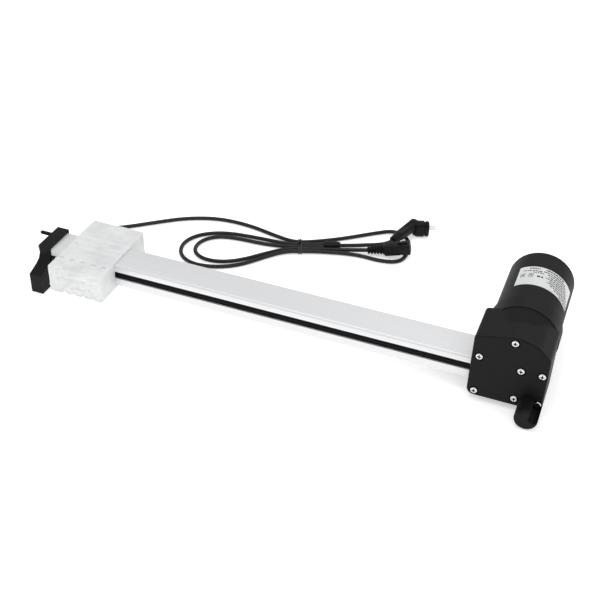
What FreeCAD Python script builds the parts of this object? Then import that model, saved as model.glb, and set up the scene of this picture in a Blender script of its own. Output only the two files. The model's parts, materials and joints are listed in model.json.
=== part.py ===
import FreeCAD, Part
import math
import os
import Sketcher

# In-line rail linear actuator of the kind that drives a reclining seat.
# Millimetres.  X runs along the rail towards the gear housing, Y runs across it
# towards the motor, Z is up.  The origin is on the rear pivot's axis, where the
# pivot leaves the front of the gear housing.
#
# Every place in the sheet is a station: x from the end bracket's outer face,
# y from the rail's centre plane, z from the surface that the actuator lies on.

DIMENSIONS = {
    # rail and its slots
    "rail_wide": 40, "rail_tall": 28.4, "rail_mid_z": 32.5, "rail_corner": 3,
    "rail_start": 9, "rail_end": 524, "rail_wall": 2.2, "rail_web": 1.8,
    "slot_tall": 9.3, "slot_deep": 4.5, "slot_mid_z": 34, "key_slot_wide": 14,
    "port_r": 1.7, "port_y": 16.5, "port_rise": 10.8,
    "strip_deep": 2.4, "strip_start": 15.7, "strip_end": 518.3, "strip_bead": 1.0,
    "strip_crest": 0.4, "seat_gap": 0.1, "over": 1,
    # end bracket
    "bracket_thick": 15.7, "bracket_top": 50, "bracket_half": 21,
    "leg_outer": 46, "leg_inner": 30, "leg_top": 24.7, "bracket_round": 1.2,
    "arch_top": 12.5, "arch_slope": 6, "flare_start": 38.5, "flare_low_y": 31.6,
    "flare_low_z": 29.4, "flare_high_y": 24.6, "flare_high_z": 32.8, "flare_round": 6,
    "peg_r": 2.3, "peg_long": 16.5, "peg_y": 10, "peg_z": 45, "peg_point": 1.5, "peg_sunk": 5,
    "foot_hole_r": 2.75, "foot_hole_y": 38, "foot_hole_deep": 14,
    # drive train in the rail
    "screw_r": 6, "screw_root_r": 4.9, "screw_pitch": 3, "journal_r": 4,
    "screw_start": 26, "screw_end": 512, "shaft_r": 5, "shaft_end": 588,
    "ridge_start": 0.5, "ridge_end": 2.5, "ridge_slope": 0.4,
    "bush_r": 8, "bush_start": 4, "bush_long": 8, "fit_gap": 0.06, "press_gap": 0.02,
    "nut_start": 54, "nut_long": 40, "nut_half": 11.4, "nut_tall": 17.6,
    "nut_bore_r": 6.2, "neck_half": 6.4, "neck_bottom": 16.2, "neck_inset": 4,
    "nut_pilot_x": 12, "nut_pilot_deep": 8,
    # slider
    "slider_start": 31.5, "slider_long": 68, "slider_half": 53, "slider_top": 50,
    "slider_bottom": 15, "tunnel_gap": 0.4, "slider_round": 2.4,
    "rib_wide": 2.4, "rib_pitch": 10.4, "rib_deep": 0.9, "rib_first_y": -17.5,
    "rib_count": 4, "notch_pitch": 12.6, "notch_wide": 4.4, "notch_deep": 2.2,
    "notch_reach": 9, "notch_first_x": 47.8, "notch_count": 4,
    "slot_row_y": -32, "slot_row_wide": 2, "slot_row_long": 6, "slot_row_deep": 2.5,
    "slot_row_first_x": 35, "slot_row_pitch": 13.8, "slot_row_count": 5,
    "bolt_r": 2.75, "bolt_first_x": 42, "bolt_last_x": 90, "bolt_y": 36, "bolt_deep": 25,
    "shoe_deep": 1.6, "shoe_tall": 8.2, "shoe_long": 56, "shoe_start": 38,
    # gear housing
    "gear_left": 518.3, "gear_right": 597.5, "gear_bottom": 6.2, "gear_front": -29.6,
    "gear_split": -5, "gear_rear": 24, "gear_wall": 3, "plate_thick": 4,
    "crown_low_z": 82.5, "crown_a_x": 534, "crown_a_z": 86.3, "crown_b_x": 562,
    "crown_b_z": 93, "crown_c_x": 583, "crown_c_z": 87, "crown_d_z": 73,
    "foot_round": 8, "crown_low_round": 4, "crown_b_round": 30, "crown_c_round": 22,
    "rim_round": 1.6, "shoulder_round": 3, "collar_round": 1.4, "throat_gap": 2.2,
    "throat_start": 34, "outlet_gap": 0.1, "blend_r": 34, "blend_start": -4,
    # rear pivot
    "pivot_x": 585.5, "pivot_z": 12.3, "pivot_r": 12.3, "pivot_long": 25.4,
    "pivot_round": 3, "root_r": 11.8, "root_deep": 3, "groove_x": 588.6, "groove_z": 15.5,
    "groove_wide": 12, "groove_tall": 12,
    # motor
    "motor_x": 560, "motor_z": 57.5, "cover_r": 36.4, "cover_end": 134,
    "cover_wall": 2.4, "cover_round": 5, "collar_r": 38.6, "collar_end": 43,
    "can_r": 31, "can_wall": 1.8, "can_start": 38, "can_end": 131, "can_gap": 0.3,
    "inner_ring": 1.6, "inner_sleeve": 2, "sleeve_out": 8,
    "magnet_r": 29, "magnet_thick": 5, "magnet_start": 52, "magnet_long": 46, "magnet_gap": 14,
    "core_r": 23.2, "core_start": 54, "core_long": 42, "motor_shaft_r": 4,
    "core_slot_r": 1.3, "core_slots": 12, "core_slot_in": 2, "shaft_gap": 0.4,
    "motor_bush_r": 7.5, "motor_bush_long": 5, "middle_bush_y": 26,
    "winding_r": 20, "winding_inner_r": 6, "winding_long": 9, "commutator_r": 9,
    "commutator_long": 11, "bar_gap": 0.8, "holder_y": 108, "holder_thick": 3,
    "holder_gap": 0.2, "brush_wide": 6, "brush_long": 5, "brush_tall": 9,
    "label_start": 65.5, "label_end": 101, "label_thick": 0.25, "label_gap": 0.01,
    "label_wrap": 108, "label_lean": 17,
    # worm drive
    "worm_r": 6.6, "worm_root_r": 4.9, "worm_turns": 5.5, "worm_pitch": 4.084,
    "thread_foot": 0.8, "thread_tip": 0.4, "thread_sunk": 0.5,
    "wheel_teeth": 30, "wheel_tip_r": 19.9, "wheel_root_r": 17.4, "wheel_wide": 9,
    "gap_foot": 0.95, "gap_mouth": 1.75,
    "wheel_x": 560,
    # bearings
    "bearing_r": 13, "bearing_wide": 8, "ball_r": 1.84, "ball_count": 9, "bearing_a_x": 534,
    "bearing_b_x": 578, "outer_ring": 2.1, "inner_race": 2.1, "block_side": 5,
    "block_rise": 4,
    # screws
    "pan_r": 3.85, "pan_tall": 2.6, "pan_round": 1.3, "recess_arm": 2.3, "recess_half": 0.7,
    "recess_deep": 1.8, "shank_r": 2, "thread_deep": 0.35, "shank_gap": 0.2,
    "rail_screw_long": 24, "nut_screw_long": 9, "cover_screw_long": 19,
    "well_r": 5.1, "well_deep": 1.8,
    # boards
    "board_wide": 14, "board_thick": 1.2, "board_z": 43.1, "switch_long": 12,
    "switch_wide": 6, "switch_thick": 1.3, "terminal_x": 524, "terminal_y": 14,
    "terminal_z": 60, "terminal_long": 22, "terminal_thick": 3, "terminal_tall": 16,
    # cord
    "cord_r": 2.5, "floor_gap": 0.1, "relief_r": 4.8, "relief_tip_r": 3.3,
    "relief_long": 24, "gland_y": 15.5, "gland_z": 11.4, "gland_tail": 2,
    "bundle_lift": 0.6, "tie_long": 6, "tie_wide": 27.8, "tie_tall": 6.4,
    "tie_wall": 0.5, "tie_round": 1.2, "tie_lean": 2.4, "tie_ends_y": 4, "tie_ends_z": 7.5,
    "tie_wire_r": 0.9,
    # splitter and connectors
    "splitter_long": 21, "splitter_wide": 12, "splitter_tall": 8, "splitter_round": 2.4,
    "splitter_at": 30, "splitter_side": 3.2, "splitter_z": 4.1,
    "socket_long": 34, "socket_wide": 15, "socket_tall": 14.4, "socket_round": 1.8,
    "key_long": 12, "key_wide": 4, "key_tall": 1.6, "key_sunk": 0.4, "key_back": 3,
    "cavity_deep": 9, "cavity_wide": 9, "cavity_tall": 8, "contact_r": 0.9,
    "contact_long": 7, "contact_y": 2.3, "boot_r": 6.6, "boot_tip_r": 4.6, "boot_long": 19.6,
    "boot_ribs": 5, "boot_pitch": 3.4, "boot_groove_r": 1.1, "boot_groove_out": 6.8,
    "grip_tip_r": 6, "grip_r": 7.4, "grip_long": 41, "head_long": 21, "head_wide": 14,
    "head_tall": 20.4, "head_round": 4, "pin_r": 1.1, "pin_long": 9, "pin_y": 2.6,
    "pin_z": 1.5,
}

doc = FreeCAD.newDocument("linear_actuator")
sheet = doc.addObject("Spreadsheet::Sheet", "dims")
for row, (alias, number) in enumerate(DIMENSIONS.items(), start=1):
    sheet.set("A%d" % row, alias)
    sheet.set("B%d" % row, str(number))
    sheet.setAlias("B%d" % row, alias)
doc.recompute()

D = DIMENSIONS
PIVOT = {"x": "dims.pivot_x", "y": "dims.gear_front", "z": "dims.pivot_z"}
X_AXIS = FreeCAD.Vector(1, 0, 0)
Y_AXIS = FreeCAD.Vector(0, 1, 0)
Z_AXIS = FreeCAD.Vector(0, 0, 1)
ALONG_X = FreeCAD.Rotation(Z_AXIS, X_AXIS)
ALONG_Y = FreeCAD.Rotation(Z_AXIS, Y_AXIS)
LIES_FLAT = FreeCAD.Rotation()

nodes = []


# ---------------------------------------------------------------- helpers

def bind(thing, **sizes):
    """Bind properties of an object to expressions over the sheet."""
    for name, expression in sizes.items():
        thing.setExpression(name, str(expression))


def shift(thing, x="0", y="0", z="0", turn=LIES_FLAT):
    """Place an object inside its sub-part, each coordinate an expression."""
    thing.Placement = FreeCAD.Placement(FreeCAD.Vector(), turn)
    for axis, expression in (("x", x), ("y", y), ("z", z)):
        thing.setExpression("Placement.Base." + axis, str(expression))
    return thing


def node(thing, label, x="0", y="0", z="0"):
    """Make an object a sub-part: name it and put its station into the frame."""
    thing.Label = label
    for axis, expression in (("x", x), ("y", y), ("z", z)):
        place = "(%s) - %s" % (expression, PIVOT[axis])
        thing.setExpression("Placement.Base." + axis, place)
    nodes.append(thing)
    return thing


def box(x, y, z, at=("0", "0", "0")):
    made = doc.addObject("Part::Box", "block")
    bind(made, Length=x, Width=y, Height=z)
    return shift(made, *at)


def rod(radius, height, at=("0", "0", "0"), turn=LIES_FLAT):
    made = doc.addObject("Part::Cylinder", "rod")
    bind(made, Radius=radius, Height=height)
    return shift(made, *at, turn=turn)


def taper(radius1, radius2, height, at=("0", "0", "0"), turn=LIES_FLAT):
    made = doc.addObject("Part::Cone", "taper")
    bind(made, Radius1=radius1, Radius2=radius2, Height=height)
    return shift(made, *at, turn=turn)


def cut(base, *tools):
    tool = tools[0] if len(tools) == 1 else fuse(*tools)
    made = doc.addObject("Part::Cut", "cut")
    made.Base = base
    made.Tool = tool
    return made


def fuse(*shapes):
    made = doc.addObject("Part::MultiFuse", "fuse")
    made.Shapes = list(shapes)
    return made


def group(*shapes):
    """Several separate solids that share one node."""
    made = doc.addObject("Part::Compound", "group")
    made.Links = list(shapes)
    return made


def sleeve(outer, inner, length, turn, start="0"):
    """A tube from start along its own axis, which turn lays along X or Y."""
    along = (lambda place: (place, "0", "0")) if turn is ALONG_X else (
        lambda place: ("0", place, "0"))
    return cut(rod(outer, length, along(start), turn),
               rod(inner, length + " + 2*dims.over", along(start + " - dims.over"), turn))


def rounded(base, radius, picks):
    """Fillet the edges of base that picks(edge) accepts."""
    doc.recompute()
    made = doc.addObject("Part::Fillet", "rounded")
    made.Base = base
    made.Edges = [(i, radius, radius) for i, edge in enumerate(base.Shape.Edges, start=1)
                  if picks(edge)]
    return made


def body(name):
    return doc.addObject("PartDesign::Body", name)


def sketch(owner, role, offset=None):
    """A sketch on one of the body's own origin planes, lifted by an expression."""
    made = owner.newObject("Sketcher::SketchObject", owner.Name + "_sketch")
    plane = [f for f in owner.Origin.OriginFeatures if f.Role == role][0]
    made.AttachmentSupport = [(plane, "")]
    made.MapMode = "FlatFace"
    if offset is not None:
        made.setExpression("AttachmentOffset.Base.z", offset)
    return made


def fix_point(drawn, geometry, corner, u, v):
    """Tie a sketch vertex to the sketch origin by two bound distances."""
    for kind, expression in (("DistanceX", u), ("DistanceY", v)):
        value = float(drawn.evalExpression(expression))
        index = drawn.addConstraint(
            Sketcher.Constraint(kind, -1, 1, geometry, corner, value))
        drawn.setExpression("Constraints[%d]" % index, expression)


def draw_outline(drawn, points):
    """A closed outline of straight sides whose corners are bound expressions."""
    places = [FreeCAD.Vector(float(drawn.evalExpression(u)),
                             float(drawn.evalExpression(v)), 0) for u, v in points]
    first = drawn.GeometryCount
    count = len(points)
    for i in range(count):
        drawn.addGeometry(Part.LineSegment(places[i], places[(i + 1) % count]), False)
    for i in range(count):
        drawn.addConstraint(
            Sketcher.Constraint("Coincident", first + i, 2, first + (i + 1) % count, 1))
    for i, (u, v) in enumerate(points):
        fix_point(drawn, first + i, 1, u, v)


def draw_box(drawn, u0, v0, u1, v1):
    draw_outline(drawn, [(u0, v0), (u1, v0), (u1, v1), (u0, v1)])


def draw_circle(drawn, u, v, radius):
    centre = FreeCAD.Vector(float(drawn.evalExpression(u)),
                            float(drawn.evalExpression(v)), 0)
    size = float(drawn.evalExpression(radius))
    index = drawn.addGeometry(Part.Circle(centre, Z_AXIS, size), False)
    fix_point(drawn, index, 3, u, v)
    ring = drawn.addConstraint(Sketcher.Constraint("Radius", index, size))
    drawn.setExpression("Constraints[%d]" % ring, radius)


def pad(owner, drawn, length, reverse=False):
    made = owner.newObject("PartDesign::Pad", owner.Name + "_pad")
    made.Profile = drawn
    made.Reversed = reverse
    made.setExpression("Length", length)
    return made


def pocket(owner, drawn, length, reverse=False):
    """A pocket, turned round if it first points away from the solid."""
    doc.recompute()
    before = owner.Shape.Volume
    made = owner.newObject("PartDesign::Pocket", owner.Name + "_pocket")
    made.Profile = drawn
    made.Reversed = reverse
    made.setExpression("Length", length)
    doc.recompute()
    if before - owner.Shape.Volume < 0.01:
        made.Reversed = not reverse
        doc.recompute()
    if before - owner.Shape.Volume < 0.01:
        raise SystemExit("pocket cuts nothing in " + owner.Name)
    return made


def fillet(owner, radius, picks):
    doc.recompute()
    base = owner.Tip
    names = ["Edge%d" % i for i, edge in enumerate(base.Shape.Edges, start=1)
             if picks(edge)]
    made = owner.newObject("PartDesign::Fillet", owner.Name + "_fillet")
    made.Base = (base, names)
    made.setExpression("Radius", radius)
    return made


def runs_along(edge, axis):
    line = edge.Curve
    return line.TypeId == "Part::GeomLine" and abs(line.Direction.dot(axis)) > 0.999


def near(value, target, slack=0.05):
    return abs(value - target) < slack


# ---------------------------------------------------------------- rail

def rail_outline(gap):
    """The rail's outer section in Y-Z, grown on every side by gap."""
    half = "dims.rail_wide/2 + " + gap
    rise = "dims.rail_tall/2 + " + gap
    return ("-(%s)" % half, "dims.rail_mid_z - (%s)" % rise, half,
            "dims.rail_mid_z + " + rise)


def make_rail():
    rail = body("rail")
    low = "dims.rail_mid_z - dims.rail_tall/2"
    high = "dims.rail_mid_z + dims.rail_tall/2"
    half = "dims.rail_wide/2"
    length = "dims.rail_end - dims.rail_start"
    outline = sketch(rail, "YZ_Plane")
    draw_box(outline, "-" + half, low, half, high)
    pad(rail, outline, length)
    fillet(rail, "dims.rail_corner", lambda e: runs_along(e, X_AXIS))

    hollow = sketch(rail, "YZ_Plane")
    reach = "(dims.rail_wide/2 - dims.slot_deep - dims.rail_web)"
    draw_box(hollow, "-" + reach, low + " + dims.rail_wall", reach, high + " - dims.rail_wall")
    pocket(rail, hollow, length)

    slots = sketch(rail, "YZ_Plane")
    floor = "(dims.rail_wide/2 - dims.slot_deep)"
    bottom = "dims.slot_mid_z - dims.slot_tall/2"
    top = "dims.slot_mid_z + dims.slot_tall/2"
    draw_box(slots, floor, bottom, half + " + dims.over", top)
    draw_box(slots, "-" + half + " - dims.over", bottom, "-" + floor, top)
    draw_box(slots, "-dims.key_slot_wide/2", low + " - dims.over", "dims.key_slot_wide/2",
             low + " + dims.rail_wall + dims.over")
    pocket(rail, slots, length)

    ports = sketch(rail, "YZ_Plane")
    for side in ("-", ""):
        for rise in ("-", "+"):
            draw_circle(ports, side + "dims.port_y", "dims.rail_mid_z %s dims.port_rise" % rise,
                        "dims.port_r")
    pocket(rail, ports, length)
    node(rail, "guide_rail", x="dims.rail_start")


def make_strip(label, side):
    """Black liner pressed into a side slot, with a fine bead along its middle."""
    strip = body(label + "_body")
    floor = "%s(dims.rail_wide/2 - dims.slot_deep)" % side
    face = "%s(dims.rail_wide/2 - dims.slot_deep + dims.strip_deep)" % side
    crest = "%s(dims.rail_wide/2 - dims.slot_deep + dims.strip_deep + dims.strip_crest)" % side
    length = "dims.strip_end - dims.strip_start"
    outline = sketch(strip, "YZ_Plane")
    draw_outline(outline, [
        (floor, "-dims.slot_tall/2"), (face, "-dims.slot_tall/2"),
        (face, "-dims.strip_bead/2"), (crest, "-dims.strip_bead/2"),
        (crest, "dims.strip_bead/2"), (face, "dims.strip_bead/2"),
        (face, "dims.slot_tall/2"), (floor, "dims.slot_tall/2")])
    pad(strip, outline, length)
    node(strip, label, x="dims.strip_start", z="dims.slot_mid_z")


# ---------------------------------------------------------------- end bracket

def make_bracket():
    bracket = body("bracket")
    half_outline = [
        ("dims.leg_inner", "0"), ("dims.leg_outer", "0"), ("dims.leg_outer", "dims.leg_top"),
        ("dims.flare_low_y", "dims.flare_low_z"), ("dims.flare_high_y", "dims.flare_high_z"),
        ("dims.bracket_half", "dims.flare_start"), ("dims.bracket_half", "dims.bracket_top")]
    mirrored = [("-(%s)" % u, v) for u, v in reversed(half_outline)]
    arch = [("-dims.leg_inner + dims.arch_slope", "dims.arch_top"),
            ("dims.leg_inner - dims.arch_slope", "dims.arch_top")]
    outline = sketch(bracket, "YZ_Plane")
    draw_outline(outline, half_outline + mirrored + arch)
    pad(bracket, outline, "dims.bracket_thick")

    def flare_edge(edge):
        centre = edge.CenterOfMass
        return runs_along(edge, X_AXIS) and D["leg_top"] + 2 < centre.z < D["flare_start"] - 1
    fillet(bracket, "dims.flare_round", flare_edge)

    def outer_rim(edge):
        return near(edge.CenterOfMass.x, 0) and edge.BoundBox.XLength < 0.01
    fillet(bracket, "dims.bracket_round", outer_rim)

    seat = sketch(bracket, "YZ_Plane", "dims.bracket_thick")
    draw_box(seat, *rail_outline("dims.seat_gap"))
    pocket(bracket, seat, "dims.bracket_thick - dims.rail_start")

    bore = sketch(bracket, "YZ_Plane", "dims.bracket_thick")
    draw_circle(bore, "0", "dims.rail_mid_z", "dims.bush_r + dims.fit_gap")
    pocket(bracket, bore, "dims.bracket_thick - dims.bush_start")

    holes = sketch(bracket, "YZ_Plane", "dims.bracket_thick")
    for side in ("-", ""):
        for rise in ("-", "+"):
            draw_circle(holes, side + "dims.port_y", "dims.rail_mid_z %s dims.port_rise" % rise,
                        "dims.shank_r + dims.shank_gap")
    pocket(bracket, holes, "dims.bracket_thick")

    peg_hole = sketch(bracket, "YZ_Plane")
    draw_circle(peg_hole, "dims.peg_y", "dims.peg_z", "dims.peg_r")
    pocket(bracket, peg_hole, "dims.peg_sunk + dims.over")

    feet = sketch(bracket, "XY_Plane")
    for side in ("-", ""):
        draw_circle(feet, "dims.bracket_thick/2", side + "dims.foot_hole_y", "dims.foot_hole_r")
    pocket(bracket, feet, "dims.foot_hole_deep")
    node(bracket, "end_bracket")


def make_peg():
    """Short moulded locating peg that stands out of the end bracket's outer face."""
    radius = "dims.peg_r - dims.press_gap"
    reach = "dims.peg_long - dims.peg_point"
    stem = rod(radius, reach + " + dims.peg_sunk", ("-(%s)" % reach, "0", "0"), ALONG_X)
    tip = taper("dims.peg_r/2", radius, "dims.peg_point", ("-dims.peg_long", "0", "0"), ALONG_X)
    node(fuse(stem, tip), "bracket_peg", y="dims.peg_y", z="dims.peg_z")


def pan_screw(x, y, z, turn, shank):
    """Pan head cross-recess screw; local +Z runs from the head's top to the tip."""
    place = FreeCAD.Placement(FreeCAD.Vector(x, y, z), turn)
    head = Part.makeCylinder(D["pan_r"], D["pan_tall"])
    rim = [e for e in head.Edges if e.Curve.TypeId == "Part::GeomCircle"
           and near(e.CenterOfMass.z, 0)]
    head = head.makeFillet(D["pan_round"], rim)
    stem = Part.makeCylinder(D["shank_r"] - D["thread_deep"], D["pan_tall"] / 2 + shank,
                             FreeCAD.Vector(0, 0, D["pan_tall"] / 2))
    made = head.fuse(stem)
    arm, half = D["recess_arm"], D["recess_half"]
    for u, v in ((arm, half), (half, arm)):
        slot = Part.makeBox(2 * u, 2 * v, 2 * D["recess_deep"],
                            FreeCAD.Vector(-u, -v, -D["recess_deep"]))
        made = made.cut(slot)
    made.Placement = place
    return made


def feature(shape, label, x="0", y="0", z="0"):
    made = doc.addObject("Part::Feature", label + "_shape")
    made.Shape = shape
    return node(made, label, x, y, z)


def make_bracket_screws():
    screws = []
    for side in (-1, 1):
        for rise in (-1, 1):
            screws.append(pan_screw(-D["pan_tall"], side * D["port_y"],
                                    D["rail_mid_z"] + rise * D["port_rise"], ALONG_X,
                                    D["rail_screw_long"]))
    feature(Part.makeCompound(screws), "bracket_screws")


def make_end_bush():
    ring = sleeve("dims.bush_r", "dims.journal_r + dims.fit_gap", "dims.bush_long", ALONG_X)
    node(ring, "end_bush", x="dims.bush_start", z="dims.rail_mid_z")


# ---------------------------------------------------------------- lead screw and nut

def make_lead_screw():
    """Turned shaft: journal, ridged working length, plain end through the wheel."""
    spindle = body("spindle")
    profile = sketch(spindle, "XZ_Plane")
    start = D["bush_start"] + D["over"] / 2
    outline = [(start, 0), (start, D["journal_r"]),
               (D["screw_start"], D["journal_r"]), (D["screw_start"], D["screw_root_r"])]
    turns = int((D["screw_end"] - D["screw_start"]) / D["screw_pitch"])
    for i in range(turns):
        foot = D["screw_start"] + i * D["screw_pitch"]
        outline += [(foot + D["ridge_start"], D["screw_root_r"]),
                    (foot + D["ridge_start"] + D["ridge_slope"], D["screw_r"]),
                    (foot + D["ridge_end"] - D["ridge_slope"], D["screw_r"]),
                    (foot + D["ridge_end"], D["screw_root_r"])]
    outline += [(D["screw_end"], D["screw_root_r"]), (D["screw_end"], D["shaft_r"]),
                (D["shaft_end"], D["shaft_r"]), (D["shaft_end"], 0)]
    places = [FreeCAD.Vector(u, v, 0) for u, v in outline]
    for here, there in zip(places, places[1:] + places[:1]):
        profile.addGeometry(Part.LineSegment(here, there), False)
    turned = spindle.newObject("PartDesign::Revolution", "spindle_turning")
    turned.Profile = profile
    turned.ReferenceAxis = (profile, ["H_Axis"])
    turned.Angle = 360
    node(spindle, "lead_screw", z="dims.rail_mid_z")


def make_drive_nut():
    drop = "(dims.rail_mid_z - dims.neck_bottom)"
    block = box("dims.nut_long", "2*dims.nut_half", "dims.nut_tall",
                ("0", "-dims.nut_half", "-dims.nut_tall/2"))
    neck = box("dims.nut_long - 2*dims.neck_inset", "2*dims.neck_half", drop,
               ("dims.neck_inset", "-dims.neck_half", "-" + drop))
    bore = rod("dims.nut_bore_r", "dims.nut_long + 2*dims.over", ("-dims.over", "0", "0"), ALONG_X)
    pilots = [rod("dims.shank_r", "dims.nut_pilot_deep + dims.over",
                  (x, "0", "-%s - dims.over" % drop))
              for x in ("dims.nut_pilot_x", "dims.nut_long - dims.nut_pilot_x")]
    node(cut(fuse(block, neck), bore, *pilots), "drive_nut", x="dims.nut_start", z="dims.rail_mid_z")


# ---------------------------------------------------------------- slider

def make_slider():
    """Moulded block round the rail: ribbed top, a row of slots, notched lower edges."""
    slider = body("slider")
    outline = sketch(slider, "YZ_Plane", "dims.slider_start")
    draw_box(outline, "-dims.slider_half", "dims.slider_bottom", "dims.slider_half", "dims.slider_top")
    pad(slider, outline, "dims.slider_long")

    def soft_edge(edge):
        centre = edge.CenterOfMass
        upright = near(abs(centre.y), D["slider_half"]) and edge.BoundBox.ZLength > 10
        return near(centre.z, D["slider_top"]) or upright
    fillet(slider, "dims.slider_round", soft_edge)

    tunnel = sketch(slider, "YZ_Plane", "dims.slider_start - dims.over")
    draw_box(tunnel, *rail_outline("dims.tunnel_gap"))
    pocket(slider, tunnel, "dims.slider_long + 2*dims.over", reverse=True)

    ribs = sketch(slider, "YZ_Plane", "dims.slider_start - dims.over")
    for i in range(D["rib_count"]):
        left = "dims.rib_first_y + %d*dims.rib_pitch" % i
        draw_box(ribs, left, "dims.slider_top - dims.rib_deep",
                 left + " + dims.rib_pitch - dims.rib_wide", "dims.slider_top + dims.over")
    pocket(slider, ribs, "dims.slider_long + 2*dims.over", reverse=True)

    slots = sketch(slider, "XY_Plane", "dims.slider_top + dims.over")
    for i in range(D["slot_row_count"]):
        left = "dims.slot_row_first_x + %d*dims.slot_row_pitch" % i
        draw_box(slots, left, "dims.slot_row_y - dims.slot_row_wide/2",
                 left + " + dims.slot_row_long", "dims.slot_row_y + dims.slot_row_wide/2")
    pocket(slider, slots, "dims.slot_row_deep + dims.over")

    for side in ("", "-"):
        notches = sketch(slider, "XZ_Plane", side + "(dims.slider_half + dims.over)")
        for i in range(D["notch_count"]):
            left = "dims.notch_first_x + %d*dims.notch_pitch" % i
            draw_box(notches, left, "dims.slider_bottom - dims.over",
                     left + " + dims.notch_wide", "dims.slider_bottom + dims.notch_deep")
        pocket(slider, notches, "dims.notch_reach + dims.over")

    neck_seat = sketch(slider, "XY_Plane", "dims.neck_bottom")
    draw_box(neck_seat, "dims.nut_start + dims.neck_inset - dims.fit_gap",
             "-dims.neck_half - dims.fit_gap",
             "dims.nut_start + dims.nut_long - dims.neck_inset + dims.fit_gap",
             "dims.neck_half + dims.fit_gap")
    pocket(slider, neck_seat, "dims.rail_mid_z - dims.rail_tall/2 - dims.neck_bottom",
           reverse=True)

    holes = sketch(slider, "XY_Plane", "dims.slider_bottom - dims.over")
    for x in ("dims.nut_start + dims.nut_pilot_x",
              "dims.nut_start + dims.nut_long - dims.nut_pilot_x"):
        draw_circle(holes, x, "0", "dims.shank_r + dims.shank_gap")
    pocket(slider, holes, "dims.neck_bottom - dims.slider_bottom + 2*dims.over", reverse=True)

    mount_holes = sketch(slider, "XY_Plane", "dims.slider_bottom - dims.over")
    for x in ("dims.bolt_first_x", "dims.bolt_last_x"):
        for side in ("-", ""):
            draw_circle(mount_holes, x, side + "dims.bolt_y", "dims.bolt_r")
    pocket(slider, mount_holes, "dims.bolt_deep + dims.over", reverse=True)
    node(slider, "slider_block")


def make_slider_trim():
    shoes = []
    for side in (-1, 1):
        lip = D["rail_wide"] / 2 + D["tunnel_gap"]
        deep = D["tunnel_gap"] + D["shoe_deep"]
        low = lip - deep if side > 0 else -lip
        shoes.append(box("dims.shoe_long", str(deep), "dims.shoe_tall",
                         ("0", str(low), "-dims.shoe_tall/2")))
    node(group(*shoes), "glide_shoes", x="dims.shoe_start", z="dims.slot_mid_z")

    screws = []
    for x in (D["nut_start"] + D["nut_pilot_x"],
              D["nut_start"] + D["nut_long"] - D["nut_pilot_x"]):
        screws.append(pan_screw(x, 0, D["slider_bottom"] - D["pan_tall"], LIES_FLAT,
                                D["nut_screw_long"]))
    feature(Part.makeCompound(screws), "slider_screws")


# ---------------------------------------------------------------- gear housing

def crown_outline(inset="0"):
    """Housing outline in X-Z: flat bottom, raised and rounded top over the motor."""
    left = "dims.gear_left + " + inset
    right = "dims.gear_right - " + inset
    return [(left, "dims.gear_bottom + " + inset),
            (left, "dims.crown_low_z - " + inset),
            ("dims.crown_a_x", "dims.crown_a_z - " + inset),
            ("dims.crown_b_x", "dims.crown_b_z - " + inset),
            ("dims.crown_c_x", "dims.crown_c_z - " + inset),
            (right, "dims.crown_d_z - " + inset),
            (right, "dims.gear_bottom + " + inset)]


STUB_SCREW = (592.8, 15.5)
SCREW_SPOTS = [(526.3, 58.2), (526.3, 12.6), (559.5, 85.2), (570.1, 52.5),
               (568.3, 15.2), (591.8, 52.5), STUB_SCREW]


def corner_at(x, z, slack=0.3):
    def picks(edge):
        centre = edge.CenterOfMass
        return runs_along(edge, Y_AXIS) and near(centre.x, x, slack) and near(centre.z, z, slack)
    return picks


def round_crown(owner):
    fillet(owner, "dims.foot_round", corner_at(D["gear_left"], D["gear_bottom"]))
    fillet(owner, "dims.crown_low_round", corner_at(D["gear_left"], D["crown_low_z"]))
    fillet(owner, "dims.crown_b_round", corner_at(D["crown_b_x"], D["crown_b_z"]))
    fillet(owner, "dims.crown_c_round", corner_at(D["crown_c_x"], D["crown_c_z"]))
    fillet(owner, "dims.foot_round", corner_at(D["gear_right"], D["crown_d_z"]))


def cut_rail_window(owner):
    """Opening in the left wall for the rail."""
    window = sketch(owner, "YZ_Plane", "dims.gear_left - dims.over")
    draw_box(window, *rail_outline("dims.seat_gap"))
    pocket(owner, window, "dims.rail_end - dims.gear_left + 2*dims.over", reverse=True)


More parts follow.
